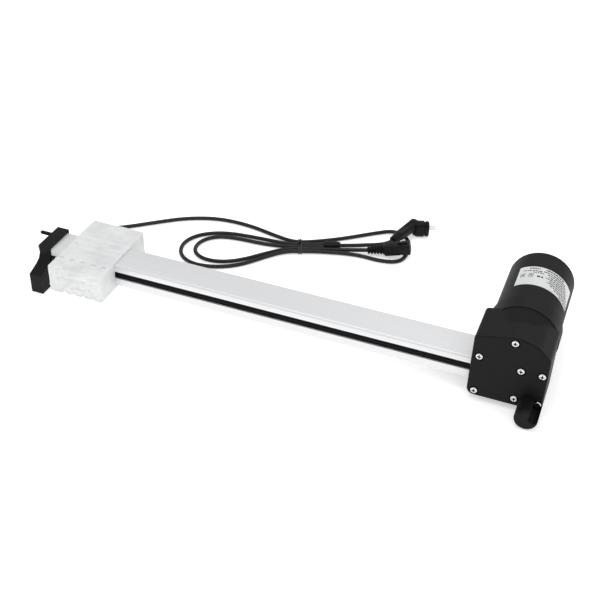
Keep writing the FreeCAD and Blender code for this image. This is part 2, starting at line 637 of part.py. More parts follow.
def make_front_housing():
    """Front half with the cover face, the screw wells and the pivot stub."""
    shell = body("front_shell")
    outline = sketch(shell, "XZ_Plane", "-dims.gear_split")
    draw_outline(outline, crown_outline())
    pad(shell, outline, "dims.gear_split - dims.gear_front")
    round_crown(shell)

    def face_rim(edge):
        return near(edge.CenterOfMass.y, D["gear_front"]) and edge.BoundBox.YLength < 0.01
    fillet(shell, "dims.rim_round", face_rim)

    root = sketch(shell, "XZ_Plane", "-dims.gear_front - dims.root_deep")
    draw_circle(root, "dims.pivot_x", "dims.pivot_z", "dims.root_r")
    pad(shell, root, "dims.root_deep")
    stub = sketch(shell, "XZ_Plane", "-dims.gear_front")
    draw_circle(stub, "dims.pivot_x", "dims.pivot_z", "dims.pivot_r")
    pad(shell, stub, "dims.pivot_long")

    def stub_rim(edge):
        tip = D["gear_front"] - D["pivot_long"]
        return near(edge.CenterOfMass.y, tip) and edge.BoundBox.YLength < 0.01
    fillet(shell, "dims.pivot_round", stub_rim)

    inside = sketch(shell, "XZ_Plane", "-dims.gear_split")
    draw_outline(inside, crown_outline("dims.gear_wall"))
    pocket(shell, inside, "dims.gear_split - dims.gear_front - dims.plate_thick", reverse=True)
    cut_rail_window(shell)

    wells = sketch(shell, "XZ_Plane", "-dims.gear_front + dims.pivot_long + dims.over")
    for x, z in SCREW_SPOTS:
        draw_circle(wells, str(x), str(z), "dims.well_r")
    pocket(shell, wells, "dims.pivot_long + dims.over + dims.well_deep", reverse=True)
    groove = sketch(shell, "XZ_Plane", "-dims.gear_front + dims.pivot_long + dims.over")
    draw_box(groove, "dims.groove_x", "dims.groove_z", "dims.groove_x + dims.groove_wide",
             "dims.groove_z + dims.groove_tall")
    pocket(shell, groove, "dims.pivot_long + dims.over", reverse=True)
    holes = sketch(shell, "XZ_Plane", "-dims.gear_front + dims.over")
    for x, z in SCREW_SPOTS:
        draw_circle(holes, str(x), str(z), "dims.shank_r + dims.shank_gap")
    pocket(shell, holes, "dims.plate_thick + 2*dims.over", reverse=True)
    node(shell, "gear_housing_front")


def make_rear_housing():
    """Rear half, which carries the motor collar and the cord outlet."""
    shell = body("rear_shell")
    outline = sketch(shell, "XZ_Plane", "-dims.gear_rear")
    draw_outline(outline, crown_outline())
    pad(shell, outline, "dims.gear_rear - dims.gear_split")
    round_crown(shell)

    def shoulder(edge):
        return near(edge.CenterOfMass.y, D["gear_rear"]) and edge.BoundBox.YLength < 0.01
    fillet(shell, "dims.shoulder_round", shoulder)
    collar = sketch(shell, "XZ_Plane", "-dims.collar_end")
    draw_circle(collar, "dims.motor_x", "dims.motor_z", "dims.collar_r")
    pad(shell, collar, "dims.collar_end - dims.gear_rear + dims.shoulder_round + dims.over")

    blend = sketch(shell, "XZ_Plane", "-dims.gear_rear")
    draw_circle(blend, "dims.motor_x", "dims.motor_z", "dims.collar_r")
    flare = pad(shell, blend, "dims.gear_rear - dims.blend_start")
    flare.setExpression("TaperAngle", "-atan((dims.collar_r - dims.blend_r)"
                        "/(dims.gear_rear - dims.blend_start))")

    def collar_rim(edge):
        return near(edge.CenterOfMass.y, D["collar_end"]) and edge.BoundBox.YLength < 0.01
    fillet(shell, "dims.collar_round", collar_rim)

    inside = sketch(shell, "XZ_Plane", "-dims.gear_split")
    draw_outline(inside, crown_outline("dims.gear_wall"))
    pocket(shell, inside, "dims.gear_rear - dims.gear_split - dims.gear_wall")
    throat = sketch(shell, "XZ_Plane", "-dims.collar_end - dims.over")
    draw_circle(throat, "dims.motor_x", "dims.motor_z", "dims.can_r + dims.throat_gap")
    pocket(shell, throat, "dims.collar_end - dims.throat_start + dims.over")
    nose = sketch(shell, "XZ_Plane", "-dims.collar_end - dims.over")
    draw_circle(nose, "dims.motor_x", "dims.motor_z", "dims.motor_bush_r + dims.fit_gap")
    pocket(shell, nose, "dims.collar_end - dims.gear_rear + dims.shoulder_round + 3*dims.over")
    cut_rail_window(shell)

    outlet = sketch(shell, "YZ_Plane", "dims.gear_left - dims.over")
    draw_circle(outlet, "dims.gland_y", "dims.gland_z", "dims.relief_tip_r + dims.outlet_gap")
    pocket(shell, outlet, "dims.gear_wall + dims.gland_tail + dims.over", reverse=True)
    node(shell, "gear_housing_rear")


def make_cover_screws():
    screws = [pan_screw(x, D["gear_front"] + D["well_deep"] - D["pan_tall"], z, ALONG_Y,
                        D["cover_screw_long"]) for x, z in SCREW_SPOTS]
    feature(Part.makeCompound(screws), "cover_screws")


# ---------------------------------------------------------------- motor

def make_motor_cover():
    tube = rod("dims.cover_r", "dims.cover_end - dims.collar_end", turn=ALONG_Y)
    doc.recompute()
    end_y = D["cover_end"] - D["collar_end"]
    domed = rounded(tube, D["cover_round"],
                    lambda e: near(e.CenterOfMass.y, end_y) and e.BoundBox.YLength < 0.01)
    hollow = rod("dims.cover_r - dims.cover_wall",
                 "dims.cover_end - dims.collar_end - dims.cover_wall + dims.over",
                 ("0", "-dims.over", "0"), ALONG_Y)
    shell = cut(domed, hollow)
    guide = "dims.can_r + dims.can_gap"
    spigot = sleeve("dims.can_r + dims.inner_sleeve", guide, "dims.sleeve_out + dims.over",
                    ALONG_Y, "-dims.sleeve_out")
    ring = sleeve("dims.cover_r - dims.over/2", guide, "dims.inner_ring", ALONG_Y)
    node(fuse(shell, ring, spigot), "motor_cover", x="dims.motor_x", y="dims.collar_end",
         z="dims.motor_z")


def make_motor_can():
    length = "(dims.can_end - dims.can_start)"
    tube = cut(rod("dims.can_r", length, turn=ALONG_Y),
               rod("dims.can_r - dims.can_wall", length + " - dims.can_wall", turn=ALONG_Y),
               rod("dims.motor_shaft_r + dims.over", length + " + dims.over", turn=ALONG_Y))
    node(tube, "motor_can", x="dims.motor_x", y="dims.can_start", z="dims.motor_z")


def make_magnets():
    ring = sleeve("dims.magnet_r", "dims.magnet_r - dims.magnet_thick", "dims.magnet_long",
                  ALONG_Y)
    gap = box("2*dims.magnet_r + 2*dims.over", "dims.magnet_long + 2*dims.over",
              "dims.magnet_gap", ("-dims.magnet_r - dims.over", "-dims.over",
                                  "-dims.magnet_gap/2"))
    node(cut(ring, gap), "field_magnets", x="dims.motor_x", y="dims.magnet_start", z="dims.motor_z")


def make_armature():
    bore = "dims.motor_shaft_r + dims.press_gap"
    core = sleeve("dims.core_r", bore, "dims.core_long", ALONG_Y)
    turns = ["%d*360/dims.core_slots" % i for i in range(D["core_slots"])]
    slots = [rod("dims.core_slot_r", "dims.core_long + 2*dims.over",
                 ("(dims.core_r - dims.core_slot_in)*cos(%s)" % turn, "-dims.over",
                  "(dims.core_r - dims.core_slot_in)*sin(%s)" % turn), ALONG_Y)
             for turn in turns]
    node(cut(core, *slots), "armature_core", x="dims.motor_x", y="dims.core_start",
         z="dims.motor_z")

    coils = [sleeve("dims.winding_r", "dims.winding_inner_r", "dims.winding_long", ALONG_Y, y)
             for y in ("-dims.winding_long", "dims.core_long")]
    node(group(*coils), "armature_windings", x="dims.motor_x", y="dims.core_start", z="dims.motor_z")

    drum = sleeve("dims.commutator_r", bore, "dims.commutator_long", ALONG_Y)
    gaps = [rod("dims.bar_gap/2", "dims.commutator_long - dims.over",
                ("dims.commutator_r*cos(%s)" % turn, "dims.over",
                 "dims.commutator_r*sin(%s)" % turn), ALONG_Y) for turn in turns]
    node(cut(drum, *gaps), "commutator", x="dims.motor_x",
         y="dims.core_start + dims.core_long + dims.winding_long", z="dims.motor_z")

    start = "dims.gear_front + dims.plate_thick + dims.shaft_gap"
    node(rod("dims.motor_shaft_r", "dims.can_end - dims.can_wall - (%s)" % start, turn=ALONG_Y),
         "motor_shaft", x="dims.motor_x", y=start, z="dims.motor_z")


def make_brushes():
    lift = "(dims.commutator_r + dims.holder_gap)"
    disc = sleeve("dims.can_r - dims.can_wall - dims.holder_gap", lift + " + dims.over",
                  "dims.holder_thick", ALONG_Y)
    slots = [box("dims.brush_wide + 2*dims.holder_gap", "dims.holder_thick + 2*dims.over",
                 "dims.brush_tall + 2*dims.over",
                 ("-dims.brush_wide/2 - dims.holder_gap", "-dims.over", z))
             for z in (lift + " - dims.over", "-%s - dims.brush_tall - dims.over" % lift)]
    node(cut(disc, *slots), "brush_holder", x="dims.motor_x", y="dims.holder_y",
         z="dims.motor_z")
    blocks = [box("dims.brush_wide", "dims.brush_long", "dims.brush_tall",
                  ("-dims.brush_wide/2", "-dims.over", z))
              for z in (lift, "-%s - dims.brush_tall" % lift)]
    node(group(*blocks), "carbon_brushes", x="dims.motor_x", y="dims.holder_y",
         z="dims.motor_z")


def make_label():
    """Blank rating label wrapped over the top of the motor cover."""
    long = D["label_end"] - D["label_start"]
    skin = Part.makeCylinder(D["cover_r"] + D["label_thick"], long, FreeCAD.Vector(),
                             Y_AXIS, D["label_wrap"])
    core = Part.makeCylinder(D["cover_r"] + D["label_gap"], long, FreeCAD.Vector(), Y_AXIS)
    patch = skin.cut(core).Solids[0]
    middle = patch.CenterOfMass
    here = math.degrees(math.atan2(middle.x, middle.z))
    patch.rotate(FreeCAD.Vector(), Y_AXIS, D["label_lean"] - here)
    feature(patch, "rating_label", x="dims.motor_x",
            y="dims.label_start", z="dims.motor_z")


# ---------------------------------------------------------------- worm drive

def make_worm():
    """Single-start worm pressed on the motor shaft.

    The thread crosses the wheel's plane half a turn count from either end, where it
    faces the wheel, so it stands in a tooth gap of the wheel at rest.
    """
    pitch = D["worm_pitch"]
    length = D["worm_turns"] * pitch
    core = Part.makeCylinder(D["worm_root_r"], length)
    helix = Part.makeHelix(pitch, length - pitch, D["worm_root_r"])
    foot = D["worm_root_r"] - D["thread_sunk"]
    tooth = Part.makePolygon([
        FreeCAD.Vector(foot, 0, -D["thread_foot"]),
        FreeCAD.Vector(D["worm_r"], 0, -D["thread_tip"]),
        FreeCAD.Vector(D["worm_r"], 0, D["thread_tip"]),
        FreeCAD.Vector(foot, 0, D["thread_foot"]),
        FreeCAD.Vector(foot, 0, -D["thread_foot"])])
    thread = Part.Wire(helix).makePipeShell([tooth], True, True)
    thread.translate(FreeCAD.Vector(0, 0, pitch / 2))
    made = core.fuse(thread)
    made = made.cut(Part.makeCylinder(D["motor_shaft_r"] + D["press_gap"], length))
    made.rotate(FreeCAD.Vector(), X_AXIS, -90)
    feature(Part.makeCompound(made.Solids), "motor_worm", x="dims.motor_x",
            y="-dims.worm_turns*dims.worm_pitch/2", z="dims.motor_z")


def make_wheel():
    wheel = body("wheel")
    disc = sketch(wheel, "YZ_Plane")
    draw_circle(disc, "0", "0", "dims.wheel_tip_r")
    draw_circle(disc, "0", "0", "dims.shaft_r + dims.press_gap")
    pad(wheel, disc, "dims.wheel_wide")
    gap = sketch(wheel, "YZ_Plane")
    draw_outline(gap, [("-dims.gap_foot", "dims.wheel_root_r"),
                       ("dims.gap_foot", "dims.wheel_root_r"),
                       ("dims.gap_mouth", "dims.wheel_tip_r + dims.over/2"),
                       ("-dims.gap_mouth", "dims.wheel_tip_r + dims.over/2")])
    first = pocket(wheel, gap, "dims.wheel_wide", reverse=True)
    ring = wheel.newObject("PartDesign::PolarPattern", "wheel_teeth")
    ring.Originals = [first]
    ring.Axis = (gap, ["N_Axis"])
    ring.Angle = 360
    ring.setExpression("Occurrences", "dims.wheel_teeth")
    wheel.Tip = ring
    node(wheel, "worm_wheel", x="dims.wheel_x - dims.wheel_wide/2", z="dims.rail_mid_z")


def make_bearings():
    outers = []
    inners = []
    balls = []
    blocks = []
    middle = "(dims.bearing_r + dims.shaft_r)/2"
    half_wide = "(dims.bearing_r + dims.block_side)"
    half_tall = "(dims.bearing_r + dims.block_rise)"
    for x in ("0", "dims.bearing_b_x - dims.bearing_a_x"):
        outers.append(sleeve("dims.bearing_r", "dims.bearing_r - dims.outer_ring",
                             "dims.bearing_wide", ALONG_X, x))
        inners.append(sleeve("dims.shaft_r + dims.inner_race", "dims.shaft_r + dims.press_gap",
                             "dims.bearing_wide", ALONG_X, x))
        for i in range(D["ball_count"]):
            turn = "%d*360/dims.ball_count" % i
            ball = doc.addObject("Part::Sphere", "ball")
            bind(ball, Radius="dims.ball_r")
            shift(ball, x + " + dims.bearing_wide/2", "%s*cos(%s)" % (middle, turn),
                  "%s*sin(%s)" % (middle, turn))
            balls.append(ball)
        blocks.append(cut(box("dims.bearing_wide", "2*" + half_wide, "2*" + half_tall,
                              (x, "-" + half_wide, "-" + half_tall)),
                          rod("dims.bearing_r + dims.press_gap",
                              "dims.bearing_wide + 2*dims.over", (x + " - dims.over", "0", "0"),
                              ALONG_X)))
    node(group(*outers), "bearing_outer_rings", x="dims.bearing_a_x", z="dims.rail_mid_z")
    node(group(*inners), "bearing_inner_rings", x="dims.bearing_a_x", z="dims.rail_mid_z")
    node(group(*balls), "bearing_balls", x="dims.bearing_a_x", z="dims.rail_mid_z")
    node(group(*blocks), "bearing_blocks", x="dims.bearing_a_x", z="dims.rail_mid_z")


def make_motor_bushes():
    """Plain bushes at the front plate, in the rear half's nose and in the can's end."""
    bushes = [sleeve("dims.motor_bush_r", "dims.motor_shaft_r + dims.fit_gap",
                     "dims.motor_bush_long", ALONG_Y, y)
              for y in ("dims.gear_front + dims.plate_thick", "dims.middle_bush_y",
                        "dims.can_end - dims.can_wall - dims.motor_bush_long")]
    node(group(*bushes), "motor_bushes", x="dims.motor_x", z="dims.motor_z")


# ---------------------------------------------------------------- electrics

def make_electrics():
    node(box("dims.screw_end - dims.screw_start", "dims.board_wide", "dims.board_thick"),
         "switch_board", x="dims.screw_start", y="-dims.board_wide/2", z="dims.board_z")
    switches = [box("dims.switch_long", "dims.switch_wide", "dims.switch_thick", (x, "0", "0"))
                for x in ("0", "dims.screw_end - dims.screw_start - dims.switch_long")]
    node(group(*switches), "limit_switches", x="dims.screw_start", y="-dims.switch_wide/2",
         z="dims.board_z - dims.switch_thick")
    node(box("dims.terminal_long", "dims.terminal_thick", "dims.terminal_tall"),
         "terminal_board", x="dims.terminal_x", y="dims.terminal_y", z="dims.terminal_z")


# ---------------------------------------------------------------- cord

FLOOR_Z = D["cord_r"] + D["floor_gap"]
BUNDLE_Z = FLOOR_Z + D["bundle_lift"]
TIE = (258.0, 162.0)
BUNDLE_ANGLE = math.radians(22)


def bundle(along, across, z=BUNDLE_Z):
    """A point near the tie, by its distance along and across the bundle."""
    return (TIE[0] + along * math.cos(BUNDLE_ANGLE) - across * math.sin(BUNDLE_ANGLE),
            TIE[1] + along * math.sin(BUNDLE_ANGLE) + across * math.cos(BUNDLE_ANGLE), z)


def floor_points(*pairs):
    return [(x, y, FLOOR_Z) for x, y in pairs]


RELIEF_TIP_X = D["gear_left"] - D["relief_long"]
MAIN_ROUTE = (
    [(RELIEF_TIP_X, D["gland_y"], D["gland_z"]), (487, 15.5, 11.4), (476, 17, 8.6),
     (455, 25, 4.2)]
    + floor_points(
        (424, 36), (380, 45), (326, 50), (268, 54), (208, 53), (150, 55), (98, 56),
        (56, 53), (25, 55), (3, 67), (-1, 86), (13, 101), (39, 118), (68, 142.5), (98, 166),
        (136, 182), (178, 183), (218, 174))
    + [bundle(-9, 10.5), bundle(13, 10.5)]
    + floor_points(
        (300, 200), (336, 230.5), (355, 244.5), (372.5, 240), (384, 222), (387.5, 200),
        (383.5, 179.5), (361, 172), (328, 174.5))
    + [bundle(26, -10.6), bundle(4, -10.6), bundle(-19, -11)]
    + floor_points(
        (226, 124), (205, 96), (178, 79), (148, 75), (126, 89), (119, 114), (130, 138),
        (158, 155), (200, 160))
    + [bundle(-16, 5.2), bundle(8, 5.2), bundle(30, 5.4)])

LOOP_ROUTE = (
    [bundle(30, 0), bundle(4, 0), bundle(-16, -0.5)]
    + floor_points(
        (214, 150), (178, 149), (152, 143), (137, 124), (139, 102), (156, 90), (180, 92),
        (203, 107), (226, 134))
    + [bundle(-16, -5.2), bundle(8, -5.2), bundle(36, -5.7), (318.5, 179.6, 3.3),
       (339.4, 185.2, 5.2)])

TAIL_ROUTE = ([bundle(51, 3.2, 3.4)]
              + [(319, 191.5, 2.8), (333, 197.5, 3.6), (345, 200, 5.6), (355.6, 202, 8.3),
                 (363.6, 208.4, 10.4), (366.9, 217.5, 11.3)])

CORD_ROUTES = (("motor_cord", MAIN_ROUTE), ("loop_cord", LOOP_ROUTE),
               ("tail_cord", TAIL_ROUTE))


def tube(points, radius, label):
    """A round tube along straight runs joined by tangent arcs."""
    places = [FreeCAD.Vector(*point) for point in points]
    edges = []
    radii = []
    start = places[0]
    for before, corner, after in zip(places, places[1:], places[2:]):
        back = (before - corner).normalize()
        ahead = (after - corner).normalize()
        turn = math.pi - back.getAngle(ahead)
        shorter = min((corner - before).Length, (after - corner).Length)
        tangent = 0.45 * shorter
        radii.append(tangent / math.tan(turn / 2))
        enter = corner + back * tangent
        leave = corner + ahead * tangent
        inward = (back + ahead).normalize()
        reach = radii[-1] / math.cos(turn / 2) - radii[-1]
        edges.append(Part.LineSegment(start, enter).toShape())
        edges.append(Part.Arc(enter, corner + inward * reach, leave).toShape())
        start = leave
    edges.append(Part.LineSegment(start, places[-1]).toShape())
    path = Part.Wire(edges)
    ring = Part.Wire(Part.Circle(places[0], places[1] - places[0], radius).toShape())
    made = path.makePipeShell([ring], True, False)
    expected = math.pi * radius ** 2 * path.Length
    print(label, "length %.0f mm," % path.Length, "volume ratio %.4f," % (made.Volume / expected),
          "smallest radius %.1f mm" % min(radii))
    print("  radii", [round(r) for r in radii])
    return made


def make_cords():
    for label, route in CORD_ROUTES:
        feature(tube(route, D["cord_r"], label), label)


def make_gland():
    relief = taper("dims.relief_tip_r", "dims.relief_r", "dims.relief_long", turn=ALONG_X)
    neck = rod("dims.relief_tip_r", "dims.gear_wall + dims.gland_tail",
               ("dims.relief_long", "0", "0"), ALONG_X)
    node(fuse(relief, neck), "cord_gland", x="dims.gear_left - dims.relief_long", y="dims.gland_y",
         z="dims.gland_z")


def laid(shape, label, at, heading, pitch=0):
    """Lay a shape whose length is local +X: turn it to its heading and rise."""
    made = doc.addObject("Part::Feature", label + "_shape")
    made.Shape = shape
    made.Placement = FreeCAD.Placement(FreeCAD.Vector(),
                                       FreeCAD.Rotation(heading, -pitch, 0))
    node(made, label, *[str(value) for value in at])


def soft_box(long, wide, tall, radius):
    made = Part.makeBox(long, wide, tall, FreeCAD.Vector(0, -wide / 2, -tall / 2))
    return made.makeFillet(radius, made.Edges)


def make_tie():
    """Flat wire tie round the five strands, its two ends twisted upwards."""
    long, wide, tall, wall = D["tie_long"], D["tie_wide"], D["tie_tall"], D["tie_wall"]
    outer = soft_box(long, wide, tall, D["tie_round"])
    inner = Part.makeBox(long + 2, wide - 2 * wall, tall - 2 * wall,
                         FreeCAD.Vector(-1, wall - wide / 2, wall - tall / 2))
    band = outer.cut(inner)
    band.translate(FreeCAD.Vector(-long / 2, 0, 0))
    ends = []
    for lean in (-D["tie_lean"], D["tie_lean"]):
        foot = FreeCAD.Vector(0, D["tie_ends_y"], tall / 2)
        tip = FreeCAD.Vector(lean, D["tie_ends_y"] + lean, D["tie_ends_z"])
        ends.append(Part.makeCylinder(D["tie_wire_r"], (tip - foot).Length, foot, tip - foot))
    laid(band.fuse(ends), "twist_tie", (*TIE, BUNDLE_Z), math.degrees(BUNDLE_ANGLE))


def make_splitter():
    made = soft_box(D["splitter_long"], D["splitter_wide"], D["splitter_tall"],
                    D["splitter_round"])
    at = bundle(D["splitter_at"], D["splitter_side"], D["splitter_z"])
    laid(made, "cord_splitter", at, math.degrees(BUNDLE_ANGLE))


SOCKET_LIE = {"at": (358.5, 189.6, 9.0), "heading": 13.0, "pitch": 11.0}
GRIP_LIE = {"at": (367.0, 217.8, 11.4), "heading": 69.7, "pitch": 3.0}
HEAD_LIE = {"at": (389.0, 252.0, 10.4), "heading": 20.0}


def pin_pair(radius, long, x, half_gap, z):
    return Part.makeCompound([Part.makeCylinder(radius, long, FreeCAD.Vector(x, y, z), X_AXIS)
                              for y in (-half_gap, half_gap)])


def make_socket():
    """Keyed socket on the loop cord, lying across the strand below its far end."""
    long, half = D["socket_long"], D["socket_tall"] / 2
    mouth = long - D["cavity_deep"]
    shell = soft_box(long, D["socket_wide"], D["socket_tall"], D["socket_round"])
    key = Part.makeBox(D["key_long"], D["key_wide"], D["key_tall"] + D["key_sunk"],
                       FreeCAD.Vector(long - D["key_back"] - D["key_long"],
                                      -D["key_wide"] / 2, half - D["key_sunk"]))
    cavity = Part.makeBox(D["cavity_deep"], D["cavity_wide"], D["cavity_tall"],
                          FreeCAD.Vector(mouth, -D["cavity_wide"] / 2, -D["cavity_tall"] / 2))
    laid(shell.fuse(key).cut(cavity), "socket_body", **SOCKET_LIE)
    contacts = pin_pair(D["contact_r"], D["contact_long"], mouth, D["contact_y"], 0)
    laid(contacts, "socket_contacts", **SOCKET_LIE)
    boot = Part.makeCone(D["boot_tip_r"], D["boot_r"], D["boot_long"],
                         FreeCAD.Vector(-D["boot_long"], 0, 0), X_AXIS)
    for i in range(int(D["boot_ribs"])):
        x = D["boot_groove_r"] + (i + 0.5) * D["boot_pitch"] - D["boot_long"]
        boot = boot.cut(Part.makeTorus(D["boot_groove_out"], D["boot_groove_r"],
                                       FreeCAD.Vector(x, 0, 0), X_AXIS))
    laid(boot, "socket_relief", **SOCKET_LIE)


def make_plug():
    """Angled two-pin plug: a long round grip and a tall head that carries the pins."""
    grip = Part.makeCone(D["grip_tip_r"], D["grip_r"], D["grip_long"], FreeCAD.Vector(), X_AXIS)
    turn = FreeCAD.Rotation(GRIP_LIE["heading"], -GRIP_LIE["pitch"], 0)
    grip.Placement = FreeCAD.Placement(FreeCAD.Vector(*GRIP_LIE["at"])
                                       - FreeCAD.Vector(*HEAD_LIE["at"]), turn)
    turn_back = FreeCAD.Rotation(-HEAD_LIE["heading"], 0, 0)
    grip.Placement = FreeCAD.Placement(FreeCAD.Vector(), turn_back) * grip.Placement
    head = soft_box(D["head_long"], D["head_wide"], D["head_tall"], D["head_round"])
    head.translate(FreeCAD.Vector(-D["head_long"] / 2, 0, 0))
    laid(grip.fuse(head), "plug_body", **HEAD_LIE)
    pins = pin_pair(D["pin_r"], D["pin_long"], D["head_long"] / 2, D["pin_y"], D["pin_z"])
    laid(pins, "plug_pins", **HEAD_LIE)


# ---------------------------------------------------------------- build and export

make_rail()
make_strip("slot_strip_near", "-")
make_strip("slot_strip_far", "")
make_bracket()
make_peg()
make_bracket_screws()
make_end_bush()
make_lead_screw()
make_drive_nut()
make_slider()
make_slider_trim()
make_front_housing()
make_rear_housing()
make_cover_screws()
make_motor_cover()
make_motor_can()
make_magnets()
make_armature()
make_brushes()
make_label()
make_worm()
make_wheel()
make_bearings()
make_motor_bushes()
make_electrics()
make_gland()
make_cords()
make_tie()
make_splitter()
make_socket()
make_plug()
doc.recompute()

for item in doc.Objects:
    if "Invalid" in item.State or "Error" in item.State:
        raise SystemExit("failed object: %s (%s)" % (item.Label, item.Name))
os.makedirs("parts", exist_ok=True)
for item in nodes:
    if item.Shape.isNull() or not item.Shape.isValid():
        raise SystemExit("bad shape: " + item.Label)
for item in nodes:
    item.Shape.exportStep("parts/%s.step" % item.Label)
print(len(nodes), "nodes written")
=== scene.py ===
import json
import math
import random

import bmesh
import bpy
from mathutils import Matrix, Vector, noise


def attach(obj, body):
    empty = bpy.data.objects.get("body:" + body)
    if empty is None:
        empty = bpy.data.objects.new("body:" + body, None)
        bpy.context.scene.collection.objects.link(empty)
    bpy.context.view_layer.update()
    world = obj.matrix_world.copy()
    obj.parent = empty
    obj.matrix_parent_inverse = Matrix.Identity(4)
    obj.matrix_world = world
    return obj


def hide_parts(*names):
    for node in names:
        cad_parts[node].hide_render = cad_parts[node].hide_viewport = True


# An in-line rail linear actuator: aluminium rail, screw-driven slider, end bracket,
# gear housing with its motor, and a tied cord with two connectors behind the rail.
# Scene units are metres in the frame of the CAD model.  Shapes are drawn in station
# millimetres: x from the end bracket's outer face, y from the rail's centre plane and
# z from the floor.  PIVOT is the frame's origin at its station.

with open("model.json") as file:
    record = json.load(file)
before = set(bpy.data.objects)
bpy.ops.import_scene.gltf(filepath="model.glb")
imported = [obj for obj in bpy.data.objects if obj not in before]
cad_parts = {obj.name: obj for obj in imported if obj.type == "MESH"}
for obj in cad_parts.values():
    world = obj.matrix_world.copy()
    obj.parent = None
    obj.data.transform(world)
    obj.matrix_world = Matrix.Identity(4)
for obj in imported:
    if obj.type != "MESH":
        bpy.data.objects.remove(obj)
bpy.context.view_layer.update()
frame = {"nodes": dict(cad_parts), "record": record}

NODES = frame["nodes"]
MM = 0.001
PIVOT = Vector((585.5, -29.6, 12.3)) * MM


def station(x, y, z):
    """A point given in station millimetres, in the frame's metres."""
    return Vector((x, y, z)) * MM - PIVOT


# ---------------------------------------------------------------- camera, light, floor

# The photo's camera, solved from straight edges and circles of the object.
AZIMUTH = math.radians(20.05)
ELEVATION = math.radians(36.77)
ROLL = math.radians(1.86)
DISTANCE = 1.18247
AIM = station(302.25, 0, 0)
AIM_RIGHT = 0.01737
AIM_UP = 0.03505
LENS = 62.75

FLOOR_Z = -PIVOT.z
FLOOR_HALF = 12.0
FLOOR_GAP = 0.0002


def add_camera():
    """Look at AIM from AZIMUTH and ELEVATION, rolled by ROLL and shifted in the picture."""
    back = Vector((math.sin(AZIMUTH) * math.cos(ELEVATION),
                   -math.cos(AZIMUTH) * math.cos(ELEVATION), math.sin(ELEVATION)))
    level_right = Vector((math.cos(AZIMUTH), math.sin(AZIMUTH), 0))
    level_up = back.cross(level_right)
    right = level_right * math.cos(ROLL) + level_up * math.sin(ROLL)
    up = level_up * math.cos(ROLL) - level_right * math.sin(ROLL)
    place = AIM + right * AIM_RIGHT + up * AIM_UP + back * DISTANCE
    data = bpy.data.cameras.new("camera")
    data.sensor_width = 36
    data.lens = LENS
    data.clip_start = 0.05
    data.clip_end = 20
    camera = bpy.data.objects.new("camera", data)
    camera.matrix_world = Matrix.Translation(place) @ Matrix(
        (right, up, back)).transposed().to_4x4()
    bpy.context.scene.collection.objects.link(camera)
    bpy.context.scene.camera = camera


def add_area(name, place, target, size, power):
    """A rectangular lamp at a place in the frame's metres, facing the target."""
    data = bpy.data.lights.new(name, "AREA")
    data.shape = "RECTANGLE"
    data.size, data.size_y = size
    data.energy = power
    light = bpy.data.objects.new(name, data)
    light.location = place
    light.rotation_euler = (Vector(place) - target).to_track_quat("Z", "Y").to_euler()
    bpy.context.scene.collection.objects.link(light)


def add_studio():
    """White surroundings, three soft lamps and a white floor under the object."""
    scene = bpy.context.scene
    scene.view_settings.view_transform = "Standard"
    world = bpy.data.worlds.new("studio")
    scene.world = world
    world.use_nodes = True
    sky = world.node_tree.nodes["Background"]
    sky.inputs["Color"].default_value = (1, 1, 1, 1)
    sky.inputs["Strength"].default_value = 0.72
    middle = station(320, 40, 30)
    add_area("key_light", (-0.4, 0.0, 1.5), middle, (0.9, 0.7), 5.0)
    add_area("fill_light", (0.75, -0.95, 0.75), middle, (0.8, 0.5), 0.3)
    add_area("rim_light", (0.15, 1.2, 0.85), middle, (1.2, 0.4), 2.0)

    mesh = bpy.data.meshes.new("floor")
    mesh.from_pydata([(x * FLOOR_HALF, y * FLOOR_HALF, 0)
                      for x, y in ((-1, -1), (1, -1), (1, 1), (-1, 1))], [], [(0, 1, 2, 3)])
    floor = bpy.data.objects.new("floor", mesh)
    floor.location = (0, 0, FLOOR_Z - FLOOR_GAP)
    scene.collection.objects.link(floor)
    paint = bpy.data.materials.new("floor_white")
    paint.use_nodes = True
    surface = paint.node_tree.nodes["Principled BSDF"]
    surface.inputs["Base Color"].default_value = (0.97, 0.97, 0.97, 1)
    surface.inputs["Roughness"].default_value = 0.9
    surface.inputs["Emission Color"].default_value = (1, 1, 1, 1)
    surface.inputs["Emission Strength"].default_value = 0.46
    mesh.materials.append(paint)


add_camera()
add_studio()


# ---------------------------------------------------------------- materials

